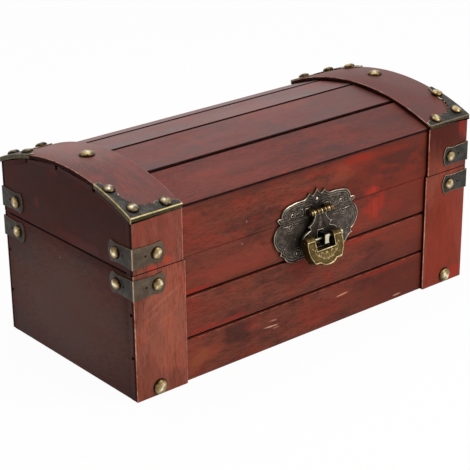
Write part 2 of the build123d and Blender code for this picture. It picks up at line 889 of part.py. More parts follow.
def fastener_nodes():
    pin_sizes = (pin_head_radius, pin_head_height, pin_shank_radius, pin_shank_length)
    screw_sizes = (screw_head_radius, screw_head_height, screw_shank_radius, screw_shank_length)
    large = (large_head_radius, large_head_height)
    small = (small_head_radius, small_head_height)
    base_nails = [nail(*spot, *small) for spot in bracket_nails(base_bracket_middle)]
    base_nails += [nail(*spot, *large) for spot in foot_nails()]
    lid_nails = [nail(*spot, *small) for spot in bracket_nails(lid_bracket_middle) + guard_nails()]
    lid_nails += [nail(*spot, *large) for spot in dome_nails()]
    lower_pins = latch_places(lower_pin_shares, -plate_drop)
    upper_pins = latch_places(upper_pin_shares, plate_rise)
    return {
        "base_nails": base_nails,
        "lid_nails": lid_nails,
        "latch_lower_pins": [small_fastener(*spot, *pin_sizes) for spot in lower_pins],
        "latch_upper_pins": [small_fastener(*spot, *pin_sizes) for spot in upper_pins],
        "hinge_base_screws": [small_fastener(*spot, *screw_sizes) for spot in hinge_places(-1)],
        "hinge_lid_screws": [small_fastener(*spot, *screw_sizes) for spot in hinge_places(1)],
    }


def lock_nodes():
    return {
        "hasp": hasp(),
        "hasp_pin": hasp_pin(),
        "staple": staple(),
        "padlock_body": padlock_body(),
        "padlock_spring": padlock_spring(),
        "padlock_bar": padlock_bar(),
    }


def write_parts():
    for name, piece in {**base_nodes(), **lid_nodes(), **lock_nodes()}.items():
        export_step(Compound(piece.solids()), f"parts/{name}.step")
    for name, pieces in fastener_nodes().items():
        solids = [solid for piece in pieces for solid in piece.solids()]
        export_step(Compound(solids), f"parts/{name}.step")
    print("lean of the padlock in degrees", round(padlock_lean(), 1))
    print("hinge axis", round(hinge_y, 2), round(hinge_z, 2))
    print("barrel axis", round(barrel_y, 2), round(barrel_z, 2))
    print("bar axis", round(bar_y, 2), round(bar_z, 2))


write_parts()
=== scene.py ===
# How a small treasure chest looks: stained boards, antique bronze corners, a cast latch and its padlock.
# Metres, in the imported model's frame: +Z up, front towards -Y.
import json
import math

import bmesh
import bpy
import numpy as np
from mathutils import Matrix, Vector

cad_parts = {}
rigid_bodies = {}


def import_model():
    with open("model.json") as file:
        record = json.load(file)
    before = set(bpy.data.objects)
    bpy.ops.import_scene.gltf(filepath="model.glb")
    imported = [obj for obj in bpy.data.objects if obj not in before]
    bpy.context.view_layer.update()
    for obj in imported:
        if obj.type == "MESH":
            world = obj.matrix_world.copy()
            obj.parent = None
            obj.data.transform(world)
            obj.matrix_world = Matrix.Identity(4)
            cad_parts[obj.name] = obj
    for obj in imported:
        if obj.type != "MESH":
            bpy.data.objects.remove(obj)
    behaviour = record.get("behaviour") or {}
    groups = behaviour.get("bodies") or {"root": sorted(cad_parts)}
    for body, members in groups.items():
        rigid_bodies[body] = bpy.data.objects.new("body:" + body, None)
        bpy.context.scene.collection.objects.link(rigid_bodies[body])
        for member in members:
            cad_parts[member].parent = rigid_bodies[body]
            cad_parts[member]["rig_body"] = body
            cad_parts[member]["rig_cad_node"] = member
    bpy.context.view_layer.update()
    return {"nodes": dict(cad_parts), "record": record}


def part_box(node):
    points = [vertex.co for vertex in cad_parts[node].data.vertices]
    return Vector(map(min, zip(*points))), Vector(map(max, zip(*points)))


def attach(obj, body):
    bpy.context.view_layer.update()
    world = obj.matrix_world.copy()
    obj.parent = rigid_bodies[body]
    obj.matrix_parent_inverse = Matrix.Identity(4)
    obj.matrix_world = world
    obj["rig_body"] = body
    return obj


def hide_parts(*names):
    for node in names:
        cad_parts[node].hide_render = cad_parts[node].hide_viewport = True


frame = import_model()
mm = 0.001
x_axis, y_axis, z_axis = range(3)
nodes = frame["nodes"]
record = frame["record"]
body_of = {node: body for body, members in record["behaviour"]["bodies"].items() for node in members}

# Where the photograph was taken from, solved from the chest's straight edges
camera_place = (-650.075 * mm, -771.718 * mm, 474.218 * mm)
camera_azimuth = -39.767
camera_elevation = 22.756
camera_roll = -0.636
lens_length = 117.8
sensor_width = 36.0

# Sizes read from the frame
wall_low, wall_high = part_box("base_strap_front_left")
base_top = wall_high.z
strap_face = wall_low.y
plank_face = wall_high.y
half_width = -wall_low.x
lid_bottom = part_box("lid_front_plank")[0].z
plate_low, plate_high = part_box("latch_lower_plate")
latch_x = (plate_low.x + plate_high.x) / 2
pin_low, pin_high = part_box("hasp_pin")
barrel_y = (pin_low.y + pin_high.y) / 2
barrel_z = (pin_low.z + pin_high.z) / 2
bar_low, bar_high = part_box("padlock_bar")
bar_y = (bar_low.y + bar_high.y) / 2
bar_z = (bar_low.z + bar_high.z) / 2

# Sizes of the part that the frame doesn't name
groove_depth = 2 * mm
plate_thickness = 1.5 * mm
hasp_set_back = 0.5 * mm
lock_half_depth = 3.2 * mm
lock_lean = math.radians(17.6)
barrel_radius = 2.1 * mm
dome_centre_z = -37.5 * mm
plate_face = plank_face - plate_thickness
hasp_face_y = barrel_y + hasp_set_back
lock_face_y = bar_y - lock_half_depth
below_split = base_top - 5 * mm
dome_foot = base_top + 30 * mm

# How closely shapes have to match, and what counts as an arris
same_place = 0.02 * mm
weld_distance = 0.002 * mm
flat_angle = math.radians(0.5)
straight = 0.9
arris_angle = math.radians(25)
arris_length = 1.5 * mm


# Modelling by hand
def take(*pieces):
    # Makes these the only selected pieces, and the first of them the active one
    bpy.ops.object.select_all(action="DESELECT")
    for piece in pieces:
        piece.select_set(True)
    bpy.context.view_layer.objects.active = pieces[0]


def edit(piece):
    take(piece)
    bpy.ops.object.mode_set(mode="EDIT")
    bpy.ops.mesh.select_mode(type="FACE")
    bpy.ops.mesh.select_all(action="DESELECT")


def leave():
    bpy.ops.object.mode_set(mode="OBJECT")


def choose(piece, kind, wanted):
    # Selects, in edit mode, the faces or edges for which wanted is true
    bpy.ops.mesh.select_mode(type=kind)
    bpy.ops.mesh.select_all(action="DESELECT")
    shape = bmesh.from_edit_mesh(piece.data)
    found = 0
    for element in shape.faces if kind == "FACE" else shape.edges:
        if wanted(element):
            element.select_set(True)
            found += 1
    shape.select_flush_mode()
    bmesh.update_edit_mesh(piece.data)
    return found


def slice_at(axis, place):
    # Cuts the faces that are shown, along a plane across an axis
    normal = [0, 0, 0]
    normal[axis] = 1
    bpy.ops.mesh.select_all(action="SELECT")
    bpy.ops.mesh.bisect(plane_co=[part * place for part in normal], plane_no=normal)


def show(thing):
    bpy.context.scene.collection.objects.link(thing)


def call(piece, name):
    piece.name = name
    piece.data.name = name


def part_of(node, piece):
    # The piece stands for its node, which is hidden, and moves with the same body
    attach(piece, body_of[node])
    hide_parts(node)
    return piece


def merged(node, name):
    # The node's shape as a piece of its own, with its loose triangles joined into whole faces
    piece = nodes[node].copy()
    piece.data = nodes[node].data.copy()
    call(piece, name)
    piece.parent = None
    del piece["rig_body"]
    del piece["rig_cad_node"]
    show(piece)
    piece.data.materials.clear()
    edit(piece)
    bpy.ops.mesh.customdata_custom_splitnormals_clear()
    bpy.ops.mesh.select_all(action="SELECT")
    bpy.ops.mesh.remove_doubles(threshold=weld_distance)
    bpy.ops.mesh.dissolve_limited(angle_limit=flat_angle)
    leave()
    return piece


def finish_with(piece, materials):
    for material in materials:
        piece.data.materials.append(material)


def paint(piece, index, wanted):
    # Gives the faces for which wanted is true the material with that index
    for face in piece.data.polygons:
        if wanted(face):
            face.material_index = index


def smooth(piece, degrees):
    take(piece)
    bpy.ops.object.shade_smooth_by_angle(angle=math.radians(degrees))


def points_of(piece):
    flat = np.zeros(len(piece.data.vertices) * 3)
    piece.data.vertices.foreach_get("co", flat)
    return flat.reshape(-1, 3)


def move_points(piece, points):
    piece.data.vertices.foreach_set("co", points.ravel())
    piece.data.update()


def set_rub_and_painted_light(piece, values):
    # How far a metal piece is rubbed bright, with painted highlight and shade in places, as one value or as
    # one for each of its points
    layer = piece.data.attributes.get("rub") or piece.data.attributes.new("rub", "FLOAT", "POINT")
    layer.data.foreach_set("value", np.full(len(layer.data), values, np.float32))


# Materials
def linear(text):
    # A colour written as an sRGB hex value, as the linear colour that a shader takes
    parts = [int(text[i : i + 2], 16) / 255 for i in (1, 3, 5)]
    turned = [c / 12.92 if c <= 0.04045 else ((c + 0.055) / 1.055) ** 2.4 for c in parts]
    return (*turned, 1.0)


def grey(value):
    return (value, value, value, 1.0)


def connect(node, inputs):
    # Sets or links a node's sockets. Where a value is a node, its first output is meant
    for socket, value in inputs.items():
        if isinstance(value, bpy.types.Node):
            value = value.outputs[0]
        if isinstance(value, bpy.types.NodeSocket):
            node.id_data.links.new(value, node.inputs[socket])
        else:
            node.inputs[socket].default_value = value


def add(tree, kind, inputs=None, stops=(), **settings):
    # Adds a shader node with its settings, the values or links of its sockets, and the stops of a ramp
    node = tree.nodes.new("ShaderNode" + kind)
    for setting, value in settings.items():
        setattr(node, setting, value)
    connect(node, inputs or {})
    if stops:
        ends = node.color_ramp.elements
        ends[0].position, ends[0].color = stops[0]
        ends[1].position, ends[1].color = stops[-1]
        for position, colour in stops[1:-1]:
            ends.new(position).color = colour
    return node


def new_material(name):
    # A material with its shader, and the place on the piece that its patterns are laid out by
    material = bpy.data.materials.new(name)
    material.use_nodes = True
    tree = material.node_tree
    return material, tree, tree.nodes["Principled BSDF"], add(tree, "TexCoord").outputs["Object"]


def stained_wood(name, grain, shades, shift, gloss, marks=(), figure=(0.5, 0.65)):
    # Softwood with a mahogany stain and thin satin varnish: dark pores and streaks along the grain, and a
    # cloudy stain that goes from brown through red-brown to rubbed bright red. Figure is how strongly the
    # streaks and the pores show. Pores are about 0.2 mm wide, and drawn wider so that they show
    dark, middle, red, bright = [linear(shade) for shade in shades]
    material, tree, shader, place = new_material(name)
    long, wide = [[stretch if axis == grain else 1 for axis in "XYZ"] for stretch in (0.14, 0.5)]
    moved = (shift, shift, shift)
    fibre = add(tree, "Mapping", {"Vector": place, "Location": moved, "Scale": long})
    drift = add(tree, "Mapping", {"Vector": place, "Location": moved, "Scale": wide})
    pores = add(tree, "TexNoise", {"Vector": fibre, "Scale": 1 / (0.9 * mm), "Detail": 3, "Roughness": 0.7})
    streaks = add(tree, "TexNoise", {"Vector": fibre, "Scale": 1 / (5 * mm), "Detail": 3, "Distortion": 0.5})
    clouds = add(tree, "TexNoise", {"Vector": drift, "Scale": 1 / (22 * mm), "Detail": 5, "Roughness": 0.62})
    rubs = add(tree, "TexNoise", {"Vector": drift, "Scale": 1 / (9 * mm), "Detail": 4, "Roughness": 0.6})
    stain = add(tree, "ValToRGB", {0: clouds}, [(0.37, dark), (0.5, middle), (0.64, red)])
    rubbed = add(tree, "ValToRGB", {0: rubs}, [(0.52, grey(0)), (0.74, grey(0.6))])
    colour = add(tree, "Mix", {0: rubbed, 6: stain, 7: bright}, data_type="RGBA").outputs[2]
    streak = add(tree, "ValToRGB", {0: streaks}, [(0.34, grey(0.7)), (0.6, grey(1))])
    pore = add(tree, "ValToRGB", {0: pores}, [(0.36, grey(0.52)), (0.54, grey(1))])
    for darkening, strength in zip((streak, pore), figure):
        sockets = {0: strength, 6: colour, 7: darkening}
        colour = add(tree, "Mix", sockets, data_type="RGBA", blend_type="MULTIPLY").outputs[2]
    patchy = add(tree, "MapRange", {"Value": rubs, "From Min": 0.36, "From Max": 0.62})
    for centre, half_size, *look in marks:
        # Middling marks are broken up by the cloudy rubbing, small and broad ones by the pores
        breaks = patchy if 6 < max(half_size) < 50 else pores
        colour = wood_mark(tree, place, breaks, colour, centre, half_size, *look)
    rough = add(tree, "ValToRGB", {0: clouds}, [(0.3, grey(0.48)), (0.7, grey(0.62))])
    bump = add(tree, "Bump", {"Strength": 0.35, "Distance": 0.12 * mm, "Height": pores})
    connect(shader, {"Base Color": colour, "Roughness": rough, "Specular IOR Level": gloss, "Normal": bump})
    return material


def wood_mark(tree, place, breaks, colour, centre, half_size, shade, strength, turn=0):
    # A scratch, dent, rubbed spot, darker band or painted highlight at one place of the board, in
    # millimetres, broken up by a pattern
    sockets = {
        "Vector": place,
        "Location": [part * mm for part in centre],
        "Rotation": (0, math.radians(turn), 0),
        "Scale": [part * mm for part in half_size],
    }
    local = add(tree, "Mapping", sockets, vector_type="TEXTURE")
    blot = add(tree, "TexGradient", {"Vector": local}, gradient_type="SPHERICAL")
    ragged = add(tree, "Math", {0: blot.outputs[1], 1: breaks}, operation="MULTIPLY")
    share = add(tree, "ValToRGB", {0: ragged}, [(0.04, grey(0)), (0.3, grey(strength))])
    return add(tree, "Mix", {0: share, 6: colour, 7: linear(shade)}, data_type="RGBA").outputs[2]


def patchy_edge(name, shades, patch, depth, roughness, gloss):
    # An edge whose shades change in patches, with a bump that follows them, and patch and depth in
    # millimetres
    material, tree, shader, place = new_material(name)
    wear = add(tree, "TexNoise", {"Vector": place, "Scale": 1 / (patch * mm), "Detail": 5, "Roughness": 0.7})
    colour = add(tree, "ValToRGB", {0: wear}, [(position, linear(shade)) for position, shade in shades])
    bump = add(tree, "Bump", {"Strength": 0.4, "Distance": depth * mm, "Height": wear})
    connect(
        shader, {"Base Color": colour, "Roughness": roughness, "Specular IOR Level": gloss, "Normal": bump}
    )
    return material


def stain_and_shade_black(name):
    # Narrow board edges brushed with nearly black stain, and the same black as painted shade in the lid's
    # split, in the grooves and along the gaps between slats: matt, with brown showing through in places
    return patchy_edge(name, [(0.35, "#160604"), (0.6, "#2a110b"), (0.78, "#43241c")], 6, 0.15, 0.7, 0.06)


def worn_and_highlit_arris(name, shade, pale, gloss):
    # The arris of a board, paler in short lengths: on the uprights where handling has worn the stain through,
    # and on the bent boards and the lips under the grooves as a painted highlight
    return patchy_edge(name, [(0.38, shade), (0.62, pale)], 7, 0.1, 0.45, gloss)


def aged_metal(name, grime, body, rub, bright, rough=(0.3, 0.55), grain=1.4, pits=0.08, uneven=0.7):
    # Antiqued copper alloy: a dark patina in the hollows, rubbed through to bright metal on high places. The
    # point attribute rub is 0 in a hollow, 0.5 on plain ground and 1 on a rubbed ridge, and on the hinge
    # knuckles and the latch plates it also holds painted highlight and painted shade. Rough is for bright and
    # for dark metal, grain and pits are a size and a depth in millimetres, and uneven is how blotchy
    material, tree, shader, place = new_material(name)
    height = add(tree, "Attribute", attribute_name="rub").outputs["Fac"]
    large, small = 2.2 * grain * mm, 0.5 * grain * mm
    mottle = add(tree, "TexNoise", {"Vector": place, "Scale": 1 / large, "Detail": 5, "Roughness": 0.7})
    fine = add(tree, "TexNoise", {"Vector": place, "Scale": 1 / small, "Detail": 3, "Roughness": 0.6})
    spread = add(tree, "Math", {0: mottle, 1: uneven, 2: -uneven / 2}, operation="MULTIPLY_ADD")
    share = add(tree, "Math", {0: height, 1: spread}, operation="ADD", use_clamp=True)
    shades = [(0.12, linear(grime)), (0.5, linear(body)), (0.74, linear(rub)), (0.95, linear(bright))]
    colour = add(tree, "ValToRGB", {0: share}, shades)
    gloss = add(tree, "ValToRGB", {0: share}, [(0.35, grey(rough[1])), (0.9, grey(rough[0]))])
    bump = add(tree, "Bump", {"Strength": 0.5, "Distance": pits * mm, "Height": fine})
    connect(shader, {"Base Color": colour, "Roughness": gloss, "Metallic": 1.0, "Normal": bump})
    return material


# Marks on the wood: middle and half size in millimetres, shade, strength and where needed a turn in degrees
front_mark_y = -72
end_mark_x = -150
mark_depth = 8


def on_front(x, z, long, high, *look):
    return (x, front_mark_y, z), (long, mark_depth, high), *look


def on_left_end(y, z, long, high, *look):
    return (end_mark_x, y, z), (mark_depth, long, high), *look


plank_rows = [
    (105, 104, 110, 50, "#742413", 0.75),
    (118, 100, 30, 18, "#55251b", 0.5),
    (120, 60, 110, 50, "#702a1c", 0.6),
    (-60, 74, 90, 16, "#82392a", 0.5),
    (-110, 12, 40, 20, "#8e4632", 0.5),
    (110, 14, 110, 40, "#5a2216", 0.75),
    (0, 31, 170, 4, "#552319", 0.6),
    (0, 61, 170, 4, "#552319", 0.6),
    (-10, 119, 170, 4, "#55251b", 0.55),
    (-142, 80, 40, 90, "#5c2a20", 0.35),
    (44, 117.5, 16, 5, "#982617", 0.55),
    (88, 107, 42, 19, "#4e241b", 0.85),
    (98, 117, 26, 6, "#642a1e", 0.7),
    (64.5, 115, 8, 5, "#51261c", 0.7),
    (60, 81, 16, 20, "#992b1b", 0.55),
    (60, 91.4, 7.5, 4, "#a82e1c", 0.45, -10),
    (54, 89.6, 9, 2.2, "#a42d1c", 0.4, -12),
    (55.4, 80, 2.8, 13, "#a42f1f", 0.35),
    (59.4, 82, 2.2, 15, "#b03522", 0.42),
    (62, 77, 1.7, 12, "#b03522", 0.4),
    (66.4, 80, 3.2, 11, "#a02d1d", 0.35),
    (64, 99, 6, 3, "#98301f", 0.35, 10),
    (84, 74, 26, 6, "#8a2a1b", 0.35, 10),
    (14, 113, 40, 5, "#95301e", 0.5, 6),
    (40, 116, 60, 5, "#8e2a1a", 0.5),
    (-90, 110, 26, 8, "#84382a", 0.5, 8),
    (-70, 68, 30, 8, "#883829", 0.5, 4),
    (47, 86, 9, 7, "#4c241a", 0.6, 30),
    (20, 112, 26, 9, "#83402e", 0.5, 12),
    (-12, 100, 20, 7, "#86392a", 0.5, 16),
    (-104, 62.6, 30, 2.5, "#9c2418", 0.7),
    (-80, 33, 40, 2.5, "#962a1c", 0.6),
    (45, 57, 50, 2.5, "#962a1c", 0.6),
    (70, 27, 50, 2.5, "#8c2416", 0.5),
    (-98, 12, 14, 7, "#8c4a2e", 0.5, -50),
    (-40, 44, 30, 7, "#803c2c", 0.5),
    (-36, 16.2, 8, 0.8, "#c89478", 0.95, 3),
    (-34, 20, 5, 0.6, "#b4806a", 0.9, 4),
    (-31, 14, 4, 0.5, "#a8705a", 0.8, 2),
    (30.6, 19.7, 7.5, 0.8, "#c08460", 0.95, -4),
    (85, 3, 5, 0.8, "#c08c70", 0.9, -2),
    (-10, 122.4, 170, 2.4, "#2c130d", 0.95),
    (-37, 79, 12, 3, "#3c1a14", 0.6, 4),
    (-34.6, 100.4, 9, 3, "#44201a", 0.5, -8),
    (-56.5, 98.2, 0.8, 0.8, "#b08070", 0.9),
    (-60.5, 83.5, 0.8, 0.8, "#b08070", 0.9),
]
strap_rows = [
    (-130, 108, 34, 30, "#7c3a2c", 0.6),
    (-128, 46, 34, 50, "#a25c48", 0.45),
    (-134, 89, 9, 3.2, "#b83a24", 0.75),
    (-124, 92, 8, 3, "#b04028", 0.6, 20),
    (-142, 8, 14, 26, "#7c402e", 0.5, 10),
    (-132, 71, 18, 2.2, "#ab664e", 0.32, -27),
    (-128, 65, 20, 1.6, "#b06c54", 0.32, -25),
    (-129, 59, 18, 1.6, "#ab664e", 0.3, -24),
    (-126, 52, 15, 1.4, "#a8624a", 0.28, -24),
    (-134, 45, 12, 1.4, "#a8624a", 0.26, -24),
    (-122, 76, 9, 1.6, "#7c3a2a", 0.4, -30),
    (-138, 62, 9, 1.4, "#7c3a2a", 0.35, -28),
    (-120, 6, 10, 12, "#6a3426", 0.5),
    (136, 124, 60, 46, "#48160b", 0.95),
    (147, 121, 8, 14, "#84241a", 0.8),
    (132, 40, 40, 66, "#842a16", 0.8),
    (144, 4, 10, 9, "#a82818", 0.6),
    (118, 20, 7, 40, "#8a2c22", 0.5),
]
end_rows = [
    (0, 40, 100, 60, "#64443c", 0.65),
    (0, 116, 110, 32, "#3a140c", 0.6),
    (32.2, 105.2, 4, 6, "#5c221b", 0.55),
    (-14.2, 108.7, 3, 5, "#5c221b", 0.6, 20),
    (8, 134, 9, 4, "#4f1f1a", 0.7),
    (7.7, 74.2, 0.8, 0.8, "#a08880", 0.9),
    (-20, 92, 45, 5, "#552420", 0.6),
]
dome_marks = [
    ((100, -30, 134), (90, 60, 40), "#54221a", 0.5),
    ((-60, -55, 128), (60, 24, 14), "#783428", 0.4),
    ((20, 10, 140), (60, 30, 14), "#7e352a", 0.4),
    ((-66, -50, 131), (48, 4, 9), "#883424", 0.24),
    ((-30, -58, 128), (48, 4, 9), "#45180f", 0.4),
    ((34, -44, 133), (49, 3, 9), "#843426", 0.2),
    ((10, -62, 125), (30, 3, 9), "#4a1c13", 0.4),
    ((84, -52, 130), (40, 6, 9), "#3e1810", 0.45),
    ((-40, -14, 138), (49, 4, 9), "#88382a", 0.2),
    ((50, -24, 137), (44, 4, 9), "#471a12", 0.4),
    ((-80, -27, 136), (26, 3, 9), "#4a1c14", 0.4),
    ((60, 0, 139), (48, 4, 9), "#84362a", 0.2),
]
bent_marks = [
    ((134, -10, 132), (40, 90, 40), "#4e1a12", 0.75),
    # A pale patch on top of the left bent board: a painted highlight
    ((-130, 24, 140), (34, 50, 14), "#8a5a50", 0.5),
    ((-128, -62, 124), (30, 16, 14), "#5c241a", 0.5),
]
plank_marks = [on_front(*row) for row in plank_rows]
strap_marks = [on_front(*row) for row in strap_rows]
end_marks = [on_left_end(*row) for row in end_rows]
red_shades = ("#562a20", "#763b2c", "#86382a", "#9a3423")
strap_shades = ("#743c2e", "#925040", "#9e4e3a", "#b4462b")
dome_shades = ("#501b12", "#65261c", "#6f261a", "#80291d")
bent_shades = ("#551e15", "#6c2a1f", "#782a1e", "#8c3022")
end_shades = ("#30120a", "#421a11", "#4c1a12", "#5e1c12")
floor_shades = ("#4a2a20", "#63402f", "#6f4433", "#7d4735")
plank_wood = stained_wood("mahogany_stained_planks", "X", red_shades, 0.0, 0.12, plank_marks, (0.8, 0.8))
strap_wood = stained_wood(
    "mahogany_stained_upright_boards", "Z", strap_shades, 0.4, 0.12, strap_marks, (0.8, 1.0)
)
slat_wood, inner_slat_wood, far_slat_wood = [
    stained_wood(f"mahogany_stained_{kind}slats", "X", dome_shades, shift, gloss, dome_marks, (0.7, 1.0))
    for kind, shift, gloss in (("", 0.9, 0.38), ("satin_", 1.1, 0.68), ("glossy_", 1.3, 1.0))
]
bent_wood = stained_wood("mahogany_stained_bent_boards", "Y", bent_shades, 1.7, 0.55, bent_marks, (1.0, 1.0))
end_wood = stained_wood("walnut_stained_end_boards", "Y", end_shades, 2.3, 0.1, end_marks)
floor_wood = stained_wood("stained_floor_board", "X", floor_shades, 3.1, 0.2)
black_stain_and_painted_shade = stain_and_shade_black("black_stain_and_painted_shade_edges")
plank_lip_highlight = worn_and_highlit_arris("painted_highlight_plank_lips", "#6a281c", "#a05a44", 0.12)
strap_arris = worn_and_highlit_arris("rubbed_strap_arris", "#a04c36", "#e0ab90", 0.15)
bent_edge_highlight = worn_and_highlit_arris("painted_highlight_bent_edges", "#7a3c30", "#b98a7a", 0.2)
end_arris = worn_and_highlit_arris("rubbed_end_arris", "#241411", "#3a221d", 0.1)
bracket_bronze = aged_metal("antique_bronze_sheet", "#2a2420", "#5e5044", "#7c6c5a", "#a8987c", grain=2.2)
# A darker copy of the bracket bronze: painted shade for the side leaves
painted_shade_bronze = aged_metal(
    "antique_bronze_side_leaves_in_painted_shade", "#1a1614", "#39332e", "#544b43", "#8a7e6c", grain=2.2
)
guard_bronze = aged_metal("blackened_bronze_sheet", "#161513", "#3e3b38", "#68635c", "#a39c8c", grain=2.2)
dull_edges = aged_metal("dull_bronze_edges", "#302a24", "#66594a", "#8a7c64", "#c4b490")
bright_bronze = aged_metal("rubbed_bronze_edges", "#6a5a4c", "#a8917a", "#cfb89c", "#f4e6cf", grain=2.4)
pale_edges = aged_metal("rubbed_pale_brass_edges", "#6a5e44", "#b5a684", "#d8cba6", "#fff8e0", grain=1.2)
fold_brass = aged_metal("rubbed_brass_folds", "#453a24", "#94845c", "#c8b888", "#f8ecc8", grain=3.2)
lip_bronze = aged_metal("dark_bronze_lips", "#15140e", "#403a28", "#6f6548", "#a89a70")
nail_brass = aged_metal(
    "antique_brass_nails", "#22170c", "#86704c", "#b8a074", "#f6ecd0", (0.18, 0.38), 1.5, 0.2, 1.3
)
dull_nail_brass = aged_metal(
    "dull_brass_nails", "#181310", "#6a5b46", "#968669", "#e6dac4", (0.24, 0.44), 1.5, 0.2, 1.3
)
latch_bronze = aged_metal("cast_antique_bronze", "#12100e", "#4a423b", "#82766a", "#cdbda4")
padlock_brass = aged_metal("cast_olive_brass", "#1c160a", "#594829", "#87744c", "#d6c69c")
barrel_brass = aged_metal("turned_brass", "#1c1209", "#735a38", "#b8a178", "#fbf0d4", (0.22, 0.38), 0.8, 0.16)
staple_nickel = aged_metal("worn_nickel_brass", "#1c181a", "#9c9278", "#cfc6aa", "#f0e8cc", (0.25, 0.4))
plain_steel = aged_metal("drawn_steel", "#55534f", "#9c9a94", "#b9b7b0", "#d8d6d0", (0.25, 0.4))
hinge_brass = aged_metal("antique_brass_sheet", "#3d3218", "#85733f", "#a08c52", "#c9b478")


# Boards
def middle_of(edge):
    return (edge.verts[0].co + edge.verts[1].co) / 2


def is_arris(edge, least=arris_length):
    # A sharp edge that is longer than the facets of the nail holes
    return len(edge.link_faces) == 2 and edge.calc_face_angle(0) > arris_angle and edge.calc_length() > least


def runs_along(edge, axis):
    # Whether an edge is nearly parallel to an axis
    run = edge.verts[1].co - edge.verts[0].co
    return abs(run[axis]) > straight * run.length


def looks_along(face, axis):
    # Whether a face is nearly square to an axis
    return abs(face.normal[axis]) > straight


def in_split(place):
    # Between the base and the lid, or on a face that one turns to the other
    return base_top - 0.1 * mm < place.z < lid_bottom + 0.1 * mm


def always(element):
    return True


def never(element):
    return False


def under_split(edge):
    # The arrises at the grooves of the base, not those at the lid's split
    return middle_of(edge).z < below_split


def between_slats(edge):
    # The arrises at the gaps of the dome, not those along its front and back. They are blacked as painted
    # shade in the gaps
    return abs(middle_of(edge).y) < 60 * mm


def board(node, name, woods, blacked, brightened, width=0.45 * mm, dark_arris=always):
    # A board with eased arrises and with blackened faces and arrises. Some arrises are paler: worn on the
    # uprights, and a painted highlight along the tops of the bent boards and the lips under the grooves. The
    # black is stain on narrow edges, and painted shade in the lid's split, in the grooves and along the gaps
    # between slats. A third wood is for the ends, and then the arrises round them and at the lid's split stay
    # sharp
    black = len(woods)
    own_ends = black > 2
    piece = merged(node, name)
    finish_with(piece, [*woods, black_stain_and_painted_shade])
    if own_ends:
        paint(piece, 2, lambda face: looks_along(face, x_axis))
    paint(piece, black, blacked)
    edit(piece)

    # Arrises at the lid's split are blacked and eased wider, as painted shade in the gap
    def at_split(edge):
        return in_split(middle_of(edge)) and dark_arris(edge)

    def by_black(edge):
        return any(face.material_index == black for face in edge.link_faces) and dark_arris(edge)

    def plain(edge):
        at_end = any(looks_along(face, x_axis) for face in edge.link_faces)
        return not (own_ends and (at_end or in_split(middle_of(edge))))

    # An arris belongs to the first group that takes it
    groups = [(brightened, 1, width), (at_split, black, 1.5 * width), (by_black, black, width), (plain, 0, width)]
    shape = bmesh.from_edit_mesh(piece.data)
    layer = shape.edges.layers.int.new("arris")
    for number, (wanted, material, wide) in enumerate(groups, 1):
        for edge in shape.edges:
            if is_arris(edge) and not edge[layer] and wanted(edge):
                edge[layer] = number
    for number, (wanted, material, wide) in enumerate(groups, 1):
        shape = bmesh.from_edit_mesh(piece.data)
        layer = shape.edges.layers.int["arris"]
        if choose(piece, "EDGE", lambda edge: edge[layer] == number and is_arris(edge)):
            bpy.ops.mesh.bevel(offset=wide, segments=2, affect="EDGES", material=material, clamp_overlap=True)
    leave()
    smooth(piece, 25)
    return part_of(node, piece)


def in_groove(face):
    # The tongue and the upper side of each groove, on the front and the back, blacked as painted shade in the
    # groove
    inward = abs(plank_face) - abs(face.center.y)
    top = face.normal.z < -straight and inward < groove_depth + 0.5 * mm
    tongue = looks_along(face, y_axis) and abs(inward - groove_depth) < 0.5 * mm
    return top or tongue


def slat_edge(face):
    # The long narrow edges of the slats
    return looks_along(face, y_axis) or (abs(face.normal.x) < 0.1 and abs(face.normal.z) < 0.5)


def at_lid_split(face):
    # The faces that the base and the lid turn to each other, blacked as painted shade in the split
    return looks_along(face, z_axis) and in_split(face.center)


def strap_sides(face):
    # The edges of an upright or bent strap, whose narrow faces look left and right and are blacked with
    # stain, and its face in the split, blacked as painted shade
    return looks_along(face, x_axis) or at_lid_split(face)


def along_face(edge, axis, face_y):
    # Along an axis and as far out as a face of the front, or as the same face of the back
    return runs_along(edge, axis) and abs(middle_of(edge).y) > abs(face_y) - 0.3 * mm


def outer_upright(edge):
    # The long upright edges of a base strap's face
    return along_face(edge, z_axis, strap_face) and middle_of(edge).z < base_top


def inner_upright(edge):
    # The upright edge of a lid strap's face that is away from the corner
    return along_face(edge, z_axis, strap_face) and abs(middle_of(edge).x) < half_width - 9 * mm


def bent_edges(edge):
    # The two long edges on top of the bent boards, which are painted paler as a highlight
    beside = any(looks_along(face, x_axis) for face in edge.link_faces)
    return beside and any(face.normal.z > 0.5 for face in edge.link_faces)


def lower_lip(edge):
    # The upper front arris of a plank under a groove, which is painted paler as a highlight
    return along_face(edge, x_axis, plank_face) and under_split(edge)


def sink_rear(slat):
    # Lets the rear edge of a slat lie a little lower than the next one, so that the narrow gap shows
    rear_y, top_z, drop = 39 * mm, 132.5 * mm, 0.6 * mm
    points = points_of(slat)
    points[:, 2] -= drop * ((points[:, 1] > rear_y) & (points[:, 2] > top_z))
    move_points(slat, points)


